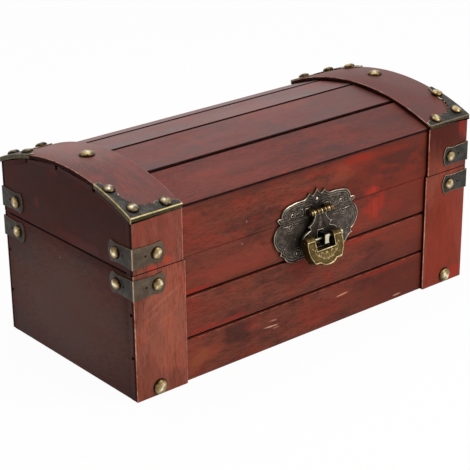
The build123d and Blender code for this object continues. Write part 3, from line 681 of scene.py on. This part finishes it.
def all_boards():
    ends = [end_wood, end_arris]
    uprights = [strap_wood, strap_arris]
    bent = [bent_wood, bent_edge_highlight]
    planks = [plank_wood, plank_lip_highlight, end_wood]
    for side in ("left", "right"):
        for half, brightened in (("base", outer_upright), ("lid", inner_upright)):
            board(f"{half}_{side}_end", f"{half}_{side}_end_board", ends, at_lid_split, never, 0.4 * mm)
            for face in ("front", "back"):
                name = f"{half}_upright_board_{face}_{side}"
                board(f"{half}_strap_{face}_{side}", name, uprights, strap_sides, brightened)
        board(f"dome_strap_{side}", f"bent_dome_board_{side}", bent, strap_sides, bent_edges)
    for face in ("front", "back"):
        for level in ("lower", "middle", "upper"):
            node = f"base_{face}_plank_{level}"
            board(node, f"base_{face}_board_{level}", planks, in_groove, lower_lip, 0.4 * mm, under_split)
        board(f"lid_{face}_plank", f"lid_{face}_board", planks, never, never, 0.3 * mm, never)
    # The arrises along the gaps between slats are blacked as painted shade, and the last slat's are eased
    # wider
    slats = ((slat_wood, 0.75), (inner_slat_wood, 0.75), (far_slat_wood, 0.75), (far_slat_wood, 1.2))
    for number, (wood, width) in enumerate(slats, 1):
        woods = [wood, plank_lip_highlight, end_wood]
        name = f"dome_slat_{number}"
        slat = board(f"lid_slat_{number}", name, woods, slat_edge, never, width * mm, between_slats)
        if number == 3:
            sink_rear(slat)
    board("floor_panel", "floor_board", [floor_wood, plank_lip_highlight], never, never)


# Fasteners
def seats_of(node):
    # Where the heads of a node's nails, pins or screws sit, the way each points, and its head's radius
    probe = merged(node, "seat_probe")
    edit(probe)
    bpy.ops.mesh.select_all(action="SELECT")
    bpy.ops.mesh.separate(type="LOOSE")
    leave()
    seats = []
    for part in list(bpy.context.selected_objects):
        under = max(part.data.polygons, key=lambda face: face.area)
        direction = -under.normal.copy()
        level = under.center.dot(under.normal)
        corners = [v.co for v in part.data.vertices if abs(v.co.dot(under.normal) - level) < same_place]
        seat = sum(corners, Vector()) / len(corners)
        seats.append((seat, direction, max((corner - seat).length for corner in corners)))
        bpy.data.objects.remove(part)
    return seats


def turned(name, profile, sides):
    # A round piece drawn ring by ring from its seat to its closed top
    radius, height = profile[0]
    bpy.ops.mesh.primitive_circle_add(
        vertices=sides, radius=radius, fill_type="NGON", location=(0, 0, height)
    )
    piece = bpy.context.object
    piece.name = name
    bpy.ops.object.transform_apply(location=True, rotation=True, scale=True)
    bpy.ops.object.mode_set(mode="EDIT")
    bpy.ops.mesh.select_mode(type="EDGE")
    bpy.ops.mesh.select_all(action="SELECT")
    for new_radius, new_height in profile[1:]:
        bpy.ops.mesh.extrude_edges_move(TRANSFORM_OT_translate={"value": (0, 0, new_height - height)})
        share = new_radius / radius
        bpy.ops.transform.resize(value=(share, share, 1), center_override=(0, 0, new_height))
        radius, height = new_radius, new_height
    bpy.ops.mesh.edge_face_add()
    bpy.ops.mesh.select_all(action="SELECT")
    bpy.ops.mesh.normals_make_consistent(inside=False)
    leave()
    return piece


def quarter_round(radius, foot, rise, steps):
    # The profile of a dome, as radius and height, without its foot and its very top
    angles = [math.radians(90 * step / steps) for step in range(1, steps)]
    return [(radius * math.cos(angle), foot + rise * math.sin(angle)) for angle in angles]


def placed_copy(model, place, direction, turn):
    copy = model.copy()
    copy.data = model.data.copy()
    show(copy)
    rotation = Vector(direction).to_track_quat("Z", "Y").to_matrix().to_4x4()
    copy.data.transform(Matrix.Translation(place) @ rotation @ Matrix.Rotation(turn, 4, "Z"))
    return copy


def joined(pieces, name):
    take(*pieces)
    bpy.ops.object.join()
    call(pieces[0], name)
    return pieces[0]


def domed_nail(radius, height):
    # A pressed nail head: a thin flange, a soft shoulder and a dome that hammering has left slightly uneven
    shank, length, flange, foot = 0.8 * mm, 5.6 * mm, 0.3 * mm, 0.5 * mm
    profile = [(shank, -length), (shank, 0), (radius, 0), (radius, flange)]
    model = turned("domed_nail", profile + quarter_round(0.97 * radius, foot, height - foot, 9), 40)
    points = points_of(model)
    reach = np.hypot(points[:, 0], points[:, 1])
    angle = np.arctan2(points[:, 1], points[:, 0])
    on_dome = (points[:, 2] > foot) & (reach > 0.5 * mm)
    dent_depth, dent_width, facet_depth = 0.06 * mm, 1.1 * mm, 0.04 * mm
    dents = dent_depth * np.sin(3 * angle + 1) * np.sin(reach / dent_width) + facet_depth * np.cos(5 * angle)
    points[:, 2] += on_dome * dents * (reach / radius)
    move_points(model, points)
    share = np.clip(points[:, 2] / height, 0, 1)
    brightened = 0.16 * np.sin(2 * angle + 0.6) * np.sin(math.pi * np.clip(reach / radius, 0, 1))
    set_rub_and_painted_light(model, np.clip(0.8 * share**1.6 + brightened, 0, 1))
    finish_with(model, [nail_brass])
    smooth(model, 50)
    return model


def slotted_screw():
    # A small raised-head screw with its slot
    shank, length, radius, flange, rise = 0.9 * mm, 4.2 * mm, 1.9 * mm, 0.25 * mm, 0.65 * mm
    slot_size = (5 * mm, 0.5 * mm, 0.9 * mm)
    profile = [(shank, -length), (shank, 0), (radius, 0), (radius, flange)]
    model = turned("slotted_screw", profile + quarter_round(radius, flange, rise, 5), 20)
    bpy.ops.mesh.primitive_cube_add(size=1, location=(0, 0, 0.95 * mm), scale=slot_size)
    cutter = bpy.context.object
    take(model)
    slot_cut = model.modifiers.new("slot", "BOOLEAN")
    slot_cut.operation = "DIFFERENCE"
    slot_cut.object = cutter
    bpy.ops.object.modifier_apply(modifier="slot")
    bpy.data.objects.remove(cutter)
    set_rub_and_painted_light(model, 0.55)
    finish_with(model, [hinge_brass])
    smooth(model, 30)
    return model


def latch_pin():
    # A small round-headed pin
    shank, length, radius, rise = 0.5 * mm, 3.6 * mm, 1.1 * mm, 0.8 * mm
    profile = [(shank, -length), (shank, 0), (radius, 0)]
    model = turned("latch_pin", profile + quarter_round(radius, 0, rise, 4), 16)
    set_rub_and_painted_light(model, np.clip(points_of(model)[:, 2] / rise, 0, 1) * 0.5)
    finish_with(model, [latch_bronze])
    smooth(model, 50)
    return model


def group_of(node, name, models):
    # On each seat of the node, a copy of the model with the nearest radius, turned further than the last
    further = 2.4
    copies = []
    for number, (place, direction, radius) in enumerate(seats_of(node)):
        model = min(models, key=lambda item: abs(item.dimensions.x / 2 - radius))
        copies.append(placed_copy(model, place, direction, further * number))
    return part_of(node, joined(copies, name))


def on_left_guards(face):
    # On the nails of the guards at the left
    place = face.center
    return place.x < 45 * mm - half_width and place.z > base_top + 25 * mm and abs(place.y) > 35 * mm


def all_fasteners():
    nails = [domed_nail(5.4 * mm, 2.9 * mm), domed_nail(4.2 * mm, 2.3 * mm)]
    screws = [slotted_screw()]
    pins = [latch_pin()]
    bpy.context.view_layer.update()
    group_of("base_nails", "base_domed_nails", nails)
    lid_nails = group_of("lid_nails", "lid_domed_nails", nails)
    finish_with(lid_nails, [dull_nail_brass])
    paint(lid_nails, 1, on_left_guards)
    for half in ("base", "lid"):
        group_of(f"hinge_{half}_screws", f"{half}_hinge_screws", screws)
    dark, bright, crest_half_width = 0.05, 1.0, 3 * mm
    set_rub_and_painted_light(group_of("latch_lower_pins", "lower_latch_pins", pins), dark)
    upper = group_of("latch_upper_pins", "upper_latch_pins", pins)
    on_crest = np.abs(points_of(upper)[:, 0] - latch_x) < crest_half_width
    set_rub_and_painted_light(upper, np.where(on_crest, bright, dark))
    for model in nails + screws + pins:
        bpy.data.objects.remove(model)


# Corner fittings
def is_outside(place):
    # Out past the straps and the ends
    return abs(place.x) > half_width + 0.5 * mm or abs(place.y) > -strap_face + 0.5 * mm


def outer_fold(edge):
    # The fold of a sheet, as seen from outside: round the box's corner, or down over the dome's edge
    middle = middle_of(edge)
    first, second = [face.normal for face in edge.link_faces]
    square = abs(first.dot(second)) < 0.5 and edge.is_convex
    upright = abs(first.z) < 0.3 and abs(second.z) < 0.3
    wide = min(face.calc_area() for face in edge.link_faces) > 25 * mm * mm
    over = max(first.z, second.z) > 0.7 and min(abs(first.z), abs(second.z)) < 0.3
    return is_outside(middle) and square and ((upright and wide) or (over and middle.z > dome_foot))


def is_rim(edge):
    # The outer edge of the sheet's outline: one face is its narrow side
    if len(edge.link_faces) != 2 or not edge.is_convex or edge.calc_length() < 0.4 * mm:
        return False
    middle = middle_of(edge)
    return edge.calc_face_angle(0) >= math.radians(40) and (is_outside(middle) or middle.z > dome_foot)


def circle_through(first, second, third):
    # Centre and radius of the circle through three points
    rows = [[2 * (q[0] - first[0]), 2 * (q[1] - first[1])] for q in (second, third)]
    sums = [q[0] ** 2 + q[1] ** 2 - first[0] ** 2 - first[1] ** 2 for q in (second, third)]
    centre = np.linalg.solve(rows, sums)
    return centre, math.hypot(first[0] - centre[0], first[1] - centre[1])


def draw_teeth(piece):
    # Draws the points between the scallops of a guard out over the dome, along its curve, in millimetres.
    # Three points of the scallop's circle are given inwards from the corner of the straps' faces
    reach, arm_length, arm_width, closely = 0.8, 25, 23.5, 0.1
    centre, radius = circle_through((25.87, 6.6), (10.4, 10.4), (6.6, 24.29))
    points = points_of(piece) / mm
    low = dome_centre_z / mm
    across = half_width / mm - np.abs(points[:, 0])
    along = -strap_face / mm - np.abs(points[:, 1])
    away = np.hypot(across - centre[0], along - centre[1])
    near = (across < arm_length) & (along < arm_width) & (points[:, 2] > dome_foot / mm)
    tips = (np.abs(away - radius) < closely) & near
    share = np.where(tips, reach / away, 0)
    dome_radius = np.hypot(points[:, 1], points[:, 2] - low)
    points[:, 0] -= np.sign(points[:, 0]) * share * (centre[0] - across)
    points[:, 1] -= np.sign(points[:, 1]) * share * (centre[1] - along)
    points[:, 2] = np.where(tips, np.sqrt(dome_radius**2 - points[:, 1] ** 2) + low, points[:, 2])
    move_points(piece, points * mm)


def sheet_fitting(node, name, materials, bend, rim, toothed=False):
    # A bent sheet whose folds are rounded and rubbed bright, and whose outline is eased
    piece = merged(node, name)
    if toothed:
        draw_teeth(piece)
    finish_with(piece, materials)
    edit(piece)
    if choose(piece, "EDGE", lambda edge: is_arris(edge) and outer_fold(edge)):
        bpy.ops.mesh.bevel(offset=bend, segments=4, affect="EDGES", material=1)
    choose(piece, "EDGE", is_rim)
    bpy.ops.mesh.bevel(offset=rim, segments=2, affect="EDGES", material=2)
    leave()
    smooth(piece, 40)
    set_rub_and_painted_light(piece, 0.5)
    return part_of(node, piece)


def all_corners():
    # The fittings at the right are blacker, with less rubbed off their folds
    for side, sheet, edges, fold in (
        ("left", bracket_bronze, dull_edges, fold_brass),
        ("right", guard_bronze, pale_edges, dull_edges),
    ):
        for face in ("front", "back"):
            for half in ("base", "lid"):
                name = f"{half}_corner_bracket_{face}_{side}"
                metals = [sheet, bright_bronze, edges, painted_shade_bronze]
                bracket = sheet_fitting(f"{half}_bracket_{face}_{side}", name, metals, 0.6 * mm, 0.2 * mm)
                # The leaves that look left or right take the darker bronze: painted shade
                paint(bracket, 3, lambda part: part.material_index == 0 and looks_along(part, x_axis))
            name = f"dome_corner_guard_{face}_{side}"
            metals = [guard_bronze, fold if face == "front" else dull_edges, pale_edges, lip_bronze]
            guard = sheet_fitting(f"corner_guard_{face}_{side}", name, metals, 0.62 * mm, 0.42 * mm, True)
            paint(guard, 3, lambda part: part.material_index == 0 and abs(part.normal.z) < 0.5)
            paint(guard, 3, lambda part: part.material_index == 2 and is_outside(part.center))


# Relief of the castings, in millimetres
spiral_steps, bow_steps = 30, 12
outline_loops = (0.22 * mm, 0.22 * mm, 0.25 * mm)
edge_fade = 0.25
side_rub = 0.35


def ridge(distance, width):
    # The rounded section of a raised line
    return np.clip(1 - (distance / width) ** 2, 0, 1) ** 1.5


def wave(along, pitch, phase=0):
    # Goes from 1 down to -1 and back in every pitch
    return np.cos(along * 2 * math.pi / pitch + phase)


def distance_to(points, steps):
    # The distance of each point to the nearest of some straight steps
    nearest = np.full(len(points), np.inf)
    for start, end in steps:
        start = np.asarray(start, float)
        run = np.asarray(end, float) - start
        share = np.clip(((points - start) @ run) / max(run @ run, 1e-12), 0, 1)
        nearest = np.minimum(nearest, np.hypot(*(points - start - share[:, None] * run).T))
    return nearest


def spiral(centre, outer, inner, start, turns):
    # A volute that winds in from its outer radius, starting at an angle in degrees
    line = []
    for share in np.arange(spiral_steps + 1) / spiral_steps:
        angle = math.radians(start) + share * turns * 2 * math.pi
        reach = outer + (inner - outer) * share
        line.append((centre[0] + reach * math.cos(angle), centre[1] + reach * math.sin(angle)))
    return line


def bowed(start, end, bow):
    # A gently bent line between two points, bowed sideways by a share of its length
    (x0, y0), (x1, y1) = start, end
    line = []
    for share in np.arange(bow_steps + 1) / bow_steps:
        side = bow * 4 * share * (1 - share)
        line.append((x0 + (x1 - x0) * share - (y1 - y0) * side, y0 + (y1 - y0) * share + (x1 - x0) * side))
    return line


def in_front(face, flat_y):
    # Whether a face lies in the flat front of a casting
    return face.normal.y < -straight and abs(face.calc_center_median().y - flat_y) < same_place


def outline_of(piece, flat_y):
    # The outline of the flat front face, as steps in X and Z in millimetres
    steps = []
    shape = bmesh.new()
    shape.from_mesh(piece.data)
    for edge in shape.edges:
        ends = [vert.co for vert in edge.verts]
        flat = all(abs(end.y - flat_y) < same_place for end in ends)
        if flat and sum(in_front(face, flat_y) for face in edge.link_faces) == 1:
            steps.append([(end.x / mm, end.z / mm) for end in ends])
    shape.free()
    return steps


def cut_fine(piece, flat_y, spacing):
    # Gives the flat front face loops that follow its outline and then a fine grid to model the relief in
    edit(piece)
    choose(piece, "FACE", lambda face: in_front(face, flat_y))
    bpy.ops.mesh.hide(unselected=True)
    for inset in outline_loops:
        bpy.ops.mesh.inset(thickness=inset, use_even_offset=False, use_boundary=True)
    bpy.ops.mesh.hide(unselected=True)
    shape = bmesh.from_edit_mesh(piece.data)
    shown = [vert.co.copy() for vert in shape.verts if not vert.hide]
    for axis in (x_axis, z_axis):
        low = min(co[axis] for co in shown)
        high = max(co[axis] for co in shown)
        count = int((high - low) / spacing)
        for number in range(1, count + 1):
            slice_at(axis, low + (high - low) * number / (count + 1))
    bpy.ops.mesh.reveal(select=False)
    leave()


# Lines that follow a casting's outline: distance in, width, height and brightness
plate_lines = [
    (0.45, 0.5, 0.45, 0.4),
    (2.1, 0.6, 0.3, 0.18),
    (3.6, 0.35, 0.2, 0.14),
    (1.15, 0.45, 0, -0.32),
    (2.9, 0.4, 0, -0.2),
]
hasp_lines = [(0.4, 0.45, 0.28, 0.5), (1.1, 0.4, 0, -0.26)]
padlock_lines = [(0.5, 0.55, 0.4, 0.4), (1.25, 0.4, 0, -0.24)]


def follow_outline(depth, lines, shown=1):
    # Height and brightness of lines at their distances in from the outline. Shown fades the raised ones
    height, rub = 0, 0
    for inward, width, lift, shine in lines:
        line = ridge(depth - inward, width) * (shown if lift else 1)
        height = height + lift * line
        rub = rub + shine * line
    return height, rub


def plate_relief(flat, depth):
    # Double rim, thin panel line and softly swollen middle of the latch plates. The rims fade along the split
    # and round the barrel, and the ground is darker towards the barrel as a painted shadow
    barrel_length, barrel_height, shadow_width = 11, 7, 13
    swell_start, swell_length, swell_height = 4, 8, 0.4
    ground_rub, shadow_rub = 0.5, 0.16
    up = np.abs(flat[:, 1] - base_top / mm)
    across = np.abs(flat[:, 0] - latch_x / mm)
    off_split = np.clip(up / 2 - 0.5, 0.2, 1)
    off_barrel = np.clip(np.hypot(across / barrel_length, up / barrel_height) * 4 - 4, 0, 1)
    height, rub = follow_outline(depth, plate_lines, off_split * off_barrel)
    swell = np.clip((depth - swell_start) / swell_length, 0, 1)
    shadow = np.exp(-((across / shadow_width) ** 2))
    return height + swell_height * swell, ground_rub + rub - shadow_rub * shadow


def mirrored(flat):
    # Points folded onto the right half of the latch
    return np.column_stack([np.abs(flat[:, 0] - latch_x / mm), flat[:, 1] - base_top / mm])


def engrave(height, rub, half, depth):
    # Fine swirling lines cut all over the ground of a latch casting
    x, z = half[:, 0], half[:, 1]
    phase = 2.6 * x + 3.8 * np.sin(0.46 * z + 0.28 * x) + 3.0 * np.sin(0.53 * x - 0.41 * z + 1)
    cut = np.clip(np.cos(phase), 0, 1) ** 2 * np.clip((depth - 1.6) / 0.8, 0, 1)
    return height - 0.08 * cut, rub - 0.12 * cut + 0.03


def raise_lines(height, rub, half, lines):
    # Adds raised scroll lines, each with its width, height and brightness
    for line, width, lift, shine in lines:
        away = distance_to(half, zip(line[:-1], line[1:]))
        raised = ridge(away, width)
        height = height + lift * raised
        rub = rub + 0.8 * shine * raised - 0.5 * shine * ridge(away - 1.5 * width, 0.6 * width)
    return height, rub


def relief_piece(node, name, flat_y, model, material=latch_bronze, spacing=0.34 * mm, lean=0.0):
    # A casting whose flat front gets a modelled relief. Lean turns it upright about the bar for the work
    piece = merged(node, name)
    bar = Vector((0, bar_y, bar_z))
    upright = Matrix.Translation(bar) @ Matrix.Rotation(lean, 4, "X") @ Matrix.Translation(-bar)
    piece.data.transform(upright)
    steps = outline_of(piece, flat_y)
    cut_fine(piece, flat_y, spacing)
    points = points_of(piece)
    front = np.abs(points[:, 1] - flat_y) < same_place
    flat = points[:, [0, 2]] / mm
    depth = np.zeros(len(points))
    depth[front] = distance_to(flat[front], steps)
    height, rub = model(flat, depth)
    points[front, 1] -= (height * np.clip(depth / edge_fade, 0, 1))[front] * mm
    move_points(piece, points)
    set_rub_and_painted_light(piece, np.where(front, np.clip(rub, 0, 1), side_rub))
    piece.data.transform(upright.inverted())
    finish_with(piece, [material])
    smooth(piece, 50)
    return part_of(node, piece)


upper_lines = [
    (spiral((15.1, 5.0), 3.2, 0.4, 250, -1.6), 0.42, 0.35, 0.16),
    (bowed((13.2, 2.4), (8.6, 8.4), 0.2), 0.4, 0.3, 0.12),
    (bowed((18.5, 4.6), (9.0, 12.4), 0.12), 0.4, 0.35, 0.16),
    (bowed((22.0, 2.6), (13.0, 10.2), 0.14), 0.32, 0.25, 0.1),
    (bowed((26.5, 1.6), (19.6, 1.9), 0.1), 0.4, 0.3, 0.18),
    (bowed((31.5, 2.2), (25.5, 2.0), 0.12), 0.4, 0.3, 0.22),
    (bowed((6.5, 12.6), (3.2, 6.0), 0.16), 0.4, 0.25, 0.1),
    (spiral((4.6, 8.6), 1.9, 0.4, 60, 1.2), 0.34, 0.25, 0.12),
]
lower_lines = [
    (bowed((31.2, -1.4), (19.6, -1.2), 0.06), 0.45, 0.35, 0.22),
    (bowed((29.8, -3.4), (21.0, -5.2), -0.16), 0.34, 0.2, 0.1),
    (spiral((28.2, -18.6), 2.3, 0.4, 200, 1.4), 0.36, 0.3, 0.16),
    (spiral((22.8, -24.8), 2.1, 0.4, 120, -1.3), 0.36, 0.3, 0.14),
    (bowed((20.0, -26.6), (9.0, -27.4), 0.06), 0.4, 0.25, 0.12),
    (bowed((26.4, -14.5), (24.4, -7.4), -0.14), 0.32, 0.14, 0.07),
    (bowed((19.6, -19.0), (17.6, -10.2), -0.14), 0.32, 0.14, 0.07),
    (bowed((24.2, -20.5), (15.0, -22.5), 0.2), 0.32, 0.14, 0.07),
    (spiral((21.2, -12.8), 2.4, 0.5, 30, 1.5), 0.34, 0.16, 0.08),
]
# The padlock's leaves, each across and down from the bar with its tilt, and the beads between them
leaf_places = ((-8.6, -8.6, 0.5), (-4.4, -11.2, 0.25), (0, -12, 0), (4.4, -11.2, -0.25), (8.6, -8.6, -0.5))
bead_places = ((-6.6, -11.6), (-2.2, -13.6), (2.2, -13.6), (6.6, -11.6), (-11.8, -5.2), (11.8, -5.2))


def upper_plate(flat, depth):
    # The lid's half: ribs like rope across the shoulders, volutes and leaf curls
    height, rub = plate_relief(flat, depth)
    half = mirrored(flat)
    band = ridge(depth - 2.0, 0.9) * np.clip((half[:, 0] - 14) / 3, 0, 1)
    ribs = wave(half[:, 0] - half[:, 1], 1.5)
    height, rub = engrave(height + 0.12 * band * ribs, rub + 0.09 * band * ribs, half, depth)
    return raise_lines(height, rub, half, upper_lines)


def lower_plate(flat, depth):
    # The base's half: a wide smooth panel with volutes near its rim
    half = mirrored(flat)
    height, rub = engrave(*plate_relief(flat, depth), half, depth)
    return raise_lines(height, rub, half, lower_lines)


def hasp_face(flat, depth):
    # A shell whose flutes spread from the barrel, inside a bright worn edge
    shell_top, shell_end, flute_count = 5.0, 17, 11
    inner_arc, outer_arc, arc_width = 9.6, 15.4, 0.4
    lift, flute_rub, arc_rub, ground_rub = 0.12, 0.12, 0.1, 0.4
    half = mirrored(flat)
    reach = np.hypot(half[:, 0], half[:, 1] - shell_top)
    angle = np.arctan2(half[:, 0], shell_top - half[:, 1])
    inside = np.clip((depth - 1.1) / 0.8, 0, 1) * np.clip((reach - 3) / 3, 0, 1)
    flutes = np.cos(angle * flute_count) * inside * np.clip((shell_end - reach) / 5, 0, 1)
    arcs = (ridge(reach - inner_arc, arc_width) + ridge(reach - outer_arc, arc_width)) * inside
    height, rub = follow_outline(depth, hasp_lines)
    height = height + lift * (flutes + arcs)
    rub = ground_rub + rub + flute_rub * flutes + arc_rub * arcs
    return engrave(height, rub, half, depth)


def padlock_face(flat, depth):
    # A rim round the outline and the throat, and a row of plain leaves between beads, on a sunk ground
    leaf_width, leaf_length, bead_radius = 1.25, 2.3, 0.75
    vein_width, vein_half_length = 0.35, 1.6
    leaf_lift, leaf_rub, ground_depth, ground_rub = 0.32, 0.3, 0.45, 0.48
    across = flat[:, 0] - (flat[:, 0].min() + flat[:, 0].max()) / 2
    down = flat[:, 1] - bar_z / mm
    leaves = np.zeros(len(flat))
    for place, low, tilt in leaf_places:
        ahead = (across - place) * math.cos(tilt) + (down - low) * math.sin(tilt)
        along = -(across - place) * math.sin(tilt) + (down - low) * math.cos(tilt)
        border = ridge(np.hypot(ahead / leaf_width, along / leaf_length) - 1, 0.42)
        vein = ridge(ahead, vein_width) * (np.abs(along) < vein_half_length)
        leaves = np.maximum(leaves, border + 0.7 * vein)
    for place, low in bead_places:
        leaves = np.maximum(leaves, ridge(np.hypot(across - place, down - low), bead_radius))
    leaves = leaves * np.clip((depth - 1) / 0.6, 0, 1)
    height, rub = follow_outline(depth, padlock_lines)
    return height + leaf_lift * leaves - ground_depth, ground_rub + rub + leaf_rub * leaves


def ringed_barrel(piece, inner, outer):
    # Turns rings into the hinge knuckles between two distances from the latch's middle, in brass. Their
    # crests are rubbed bright, and more brightness is painted on as a highlight in front, up to a number of
    # degrees from the brightest side, which lies a little above; over the top and underneath they fade to
    # dark, partly grime against the plate and partly painted shade
    cut_pitch, ring_depth = 0.26 * mm, 0.07
    highlight_side, highlight_reach, fade = 22, 100, 50

    def on_knuckle(face):
        middle = face.calc_center_median()
        away = math.hypot(middle.y - barrel_y, middle.z - barrel_z)
        within = inner < abs(middle.x - latch_x) < outer
        return within and away < barrel_radius + 0.1 * mm and middle.y < plate_face - 0.9 * mm

    def is_turned(face):
        ahead = face.center.y - barrel_y
        above = face.center.z - barrel_z
        away = math.hypot(ahead, above)
        radial = (face.normal.y * ahead + face.normal.z * above) / max(away, 0.1 * mm)
        skin = barrel_radius - 0.6 * mm < away < barrel_radius + 0.15 * mm
        free = face.center.y < plate_face - 0.6 * mm and inner < abs(face.center.x - latch_x) < outer
        return skin and free and (radial > 0.8 or abs(face.normal.x) > 0.3)

    finish_with(piece, [barrel_brass])
    edit(piece)
    choose(piece, "FACE", on_knuckle)
    bpy.ops.mesh.hide(unselected=True)
    for number in range(-40, 41):
        place = latch_x + number * cut_pitch
        if inner < abs(place - latch_x) < outer:
            slice_at(x_axis, place)
    bpy.ops.mesh.reveal(select=False)
    leave()
    points = points_of(piece)
    away = np.hypot(points[:, 1] - barrel_y, points[:, 2] - barrel_z)
    across = np.abs(points[:, 0] - latch_x)
    on_barrel = (np.abs(away - barrel_radius) < 0.12 * mm) & (points[:, 1] < plate_face - 0.7 * mm)
    on_barrel &= (across > inner - 0.05 * mm) & (across < outer + 0.05 * mm)
    along = (points[:, 0] - latch_x) / mm
    ring = np.clip((0.5 + 0.28 * wave(along, 3.1, 0.6) + 0.26 * wave(along, 1.7, 1)) * 1.3 - 0.1, 0, 1)
    share = np.where(on_barrel, 1 - ring_depth * (1 - ring), 1)
    points[:, 1] = barrel_y + (points[:, 1] - barrel_y) * share
    points[:, 2] = barrel_z + (points[:, 2] - barrel_z) * share
    move_points(piece, points)
    rub = np.zeros(len(points), np.float32)
    piece.data.attributes["rub"].data.foreach_get("value", rub)
    # Bright as a painted highlight on the side turned to the front, dark as painted shade and grime over the
    # top and underneath
    climb = np.degrees(np.arctan2(points[:, 2] - barrel_z, barrel_y - points[:, 1]))
    shown = np.clip((highlight_reach - np.abs(climb - highlight_side)) / fade, 0, 1)
    swing = 0.8 + 0.2 * wave(along, 6.4, 1.4)
    set_rub_and_painted_light(piece, np.where(on_barrel, (0.1 + 0.7 * ring**1.3) * swing * shown, rub))
    paint(piece, len(piece.data.materials) - 1, is_turned)


def eased(node, name, material, width, rub=0.5):
    # A small metal piece with eased edges
    piece = merged(node, name)
    finish_with(piece, [material])
    edit(piece)
    choose(piece, "EDGE", lambda edge: is_arris(edge, 0.6 * mm) and edge.is_convex)
    bpy.ops.mesh.bevel(offset=width, segments=3, affect="EDGES")
    leave()
    set_rub_and_painted_light(piece, rub)
    smooth(piece, 40)
    return part_of(node, piece)


def all_locks():
    knuckle_end, barrel_end, knuckle_gap = 5.0 * mm, 10.0 * mm, 0.05 * mm
    upper = relief_piece("latch_upper_plate", "latch_upper_casting", plate_face, upper_plate)
    relief_piece("latch_lower_plate", "latch_lower_casting", plate_face, lower_plate)
    flap = relief_piece("hasp", "hasp_casting", hasp_face_y, hasp_face)
    ringed_barrel(upper, knuckle_end + knuckle_gap, barrel_end)
    ringed_barrel(flap, 0.0, knuckle_end - knuckle_gap)
    relief_piece(
        "padlock_body", "padlock_casting", lock_face_y, padlock_face, padlock_brass, 0.3 * mm, lock_lean
    )
    eased("hasp_pin", "hasp_barrel_pin", barrel_brass, 0.15 * mm, 0.7)
    staple = eased("staple", "hasp_staple", staple_nickel, 0.8 * mm)
    # Only the staple's face is rubbed bright
    out = points_of(staple)[:, 1]
    set_rub_and_painted_light(staple, np.where(out < out.min() + same_place, 0.76, 0.0))
    eased("padlock_bar", "padlock_sliding_bar", staple_nickel, 0.2 * mm, 0.6)
    eased("padlock_spring", "padlock_catch_spring", plain_steel, 0.05 * mm, 0.5)


def all_hinges():
    for side in ("left", "right"):
        for half in ("base", "lid"):
            eased(f"hinge_{half}_leaf_{side}", f"{half}_hinge_leaf_{side}", hinge_brass, 0.2 * mm)
        eased(f"hinge_pin_{side}", f"back_hinge_pin_{side}", plain_steel, 0.15 * mm)


all_boards()
all_fasteners()
all_corners()
all_locks()
all_hinges()


# Studio
def seen_by_rays(tree):
    # Is 1 for rays from cameras, metal and glass, and 0 for rays that only light the scene
    path = add(tree, "LightPath").outputs
    seen = add(tree, "Math", {0: path["Is Camera Ray"], 1: path["Is Glossy Ray"]}, operation="MAXIMUM")
    return add(tree, "Math", {0: seen, 1: path["Is Transmission Ray"]}, operation="MAXIMUM")


def backdrop_shader(tree, colour, lit_share):
    # A pale floor that cameras, metal and glass see nearly white, and that still takes a soft shadow
    tree.nodes.clear()
    lit = add(tree, "BsdfDiffuse", {"Color": colour})
    glow = add(tree, "Emission", {"Color": grey(1), "Strength": 1.0})
    share = add(tree, "Math", {0: seen_by_rays(tree), 1: 1 - lit_share}, operation="MULTIPLY")
    mixed = add(tree, "MixShader", {0: share, 1: lit, 2: glow})
    add(tree, "OutputMaterial", {0: mixed})


def white_room(tree, light_strength):
    # Surroundings that show plain white and light the chest less strongly than they look
    tree.nodes.clear()
    shown = add(tree, "Background", {"Color": grey(1), "Strength": 1.0})
    light = add(tree, "Background", {"Color": grey(1), "Strength": light_strength})
    mixed = add(tree, "MixShader", {0: seen_by_rays(tree), 1: light, 2: shown})
    add(tree, "OutputWorld", {0: mixed})


def softbox(name, place, size, power):
    # A square lamp that points at the chest's middle
    aim = Vector((0, 0, 0.07))
    data = bpy.data.lights.new(name, "AREA")
    data.shape = "SQUARE"
    data.size = size
    data.energy = power
    lamp = bpy.data.objects.new(name, data)
    lamp.location = place
    lamp.rotation_euler = (aim - Vector(place)).to_track_quat("-Z", "Y").to_euler()
    show(lamp)


def studio():
    floor_size, floor_z, floor_lit_share, room_light = 12, -0.05 * mm, 0.05, 0.42
    bpy.ops.mesh.primitive_plane_add(size=floor_size, location=(0, 0, floor_z))
    ground = bpy.context.object
    ground.name = "studio_floor"
    bpy.ops.object.transform_apply(location=True, rotation=True, scale=True)
    paper = bpy.data.materials.new("matt_white_paper")
    paper.use_nodes = True
    backdrop_shader(paper.node_tree, grey(0.9), floor_lit_share)
    finish_with(ground, [paper])
    world = bpy.data.worlds.new("white_studio")
    bpy.context.scene.world = world
    world.use_nodes = True
    white_room(world.node_tree, room_light)
    softbox("key_softbox", (0.75, -1.25, 1.15), 0.9, 17.0)
    softbox("top_softbox", (-0.1, 0.2, 1.7), 1.1, 9.0)


def camera():
    # Stands where the photograph was taken from, turned, tipped and rolled as solved
    swung = Matrix.Rotation(math.radians(camera_azimuth), 3, "Z")
    raised = Matrix.Rotation(math.radians(90 - camera_elevation), 3, "X")
    rolled = Matrix.Rotation(math.radians(camera_roll), 3, "Z")
    data = bpy.data.cameras.new("photo_camera")
    data.lens = lens_length
    data.sensor_width = sensor_width
    data.clip_start = 0.05
    data.clip_end = 50
    viewer = bpy.data.objects.new("photo_camera", data)
    viewer.rotation_mode = "QUATERNION"
    viewer.rotation_quaternion = (swung @ raised @ rolled).to_quaternion()
    viewer.location = camera_place
    show(viewer)
    bpy.context.scene.camera = viewer


studio()
camera()
bpy.context.scene.view_settings.view_transform = "Standard"
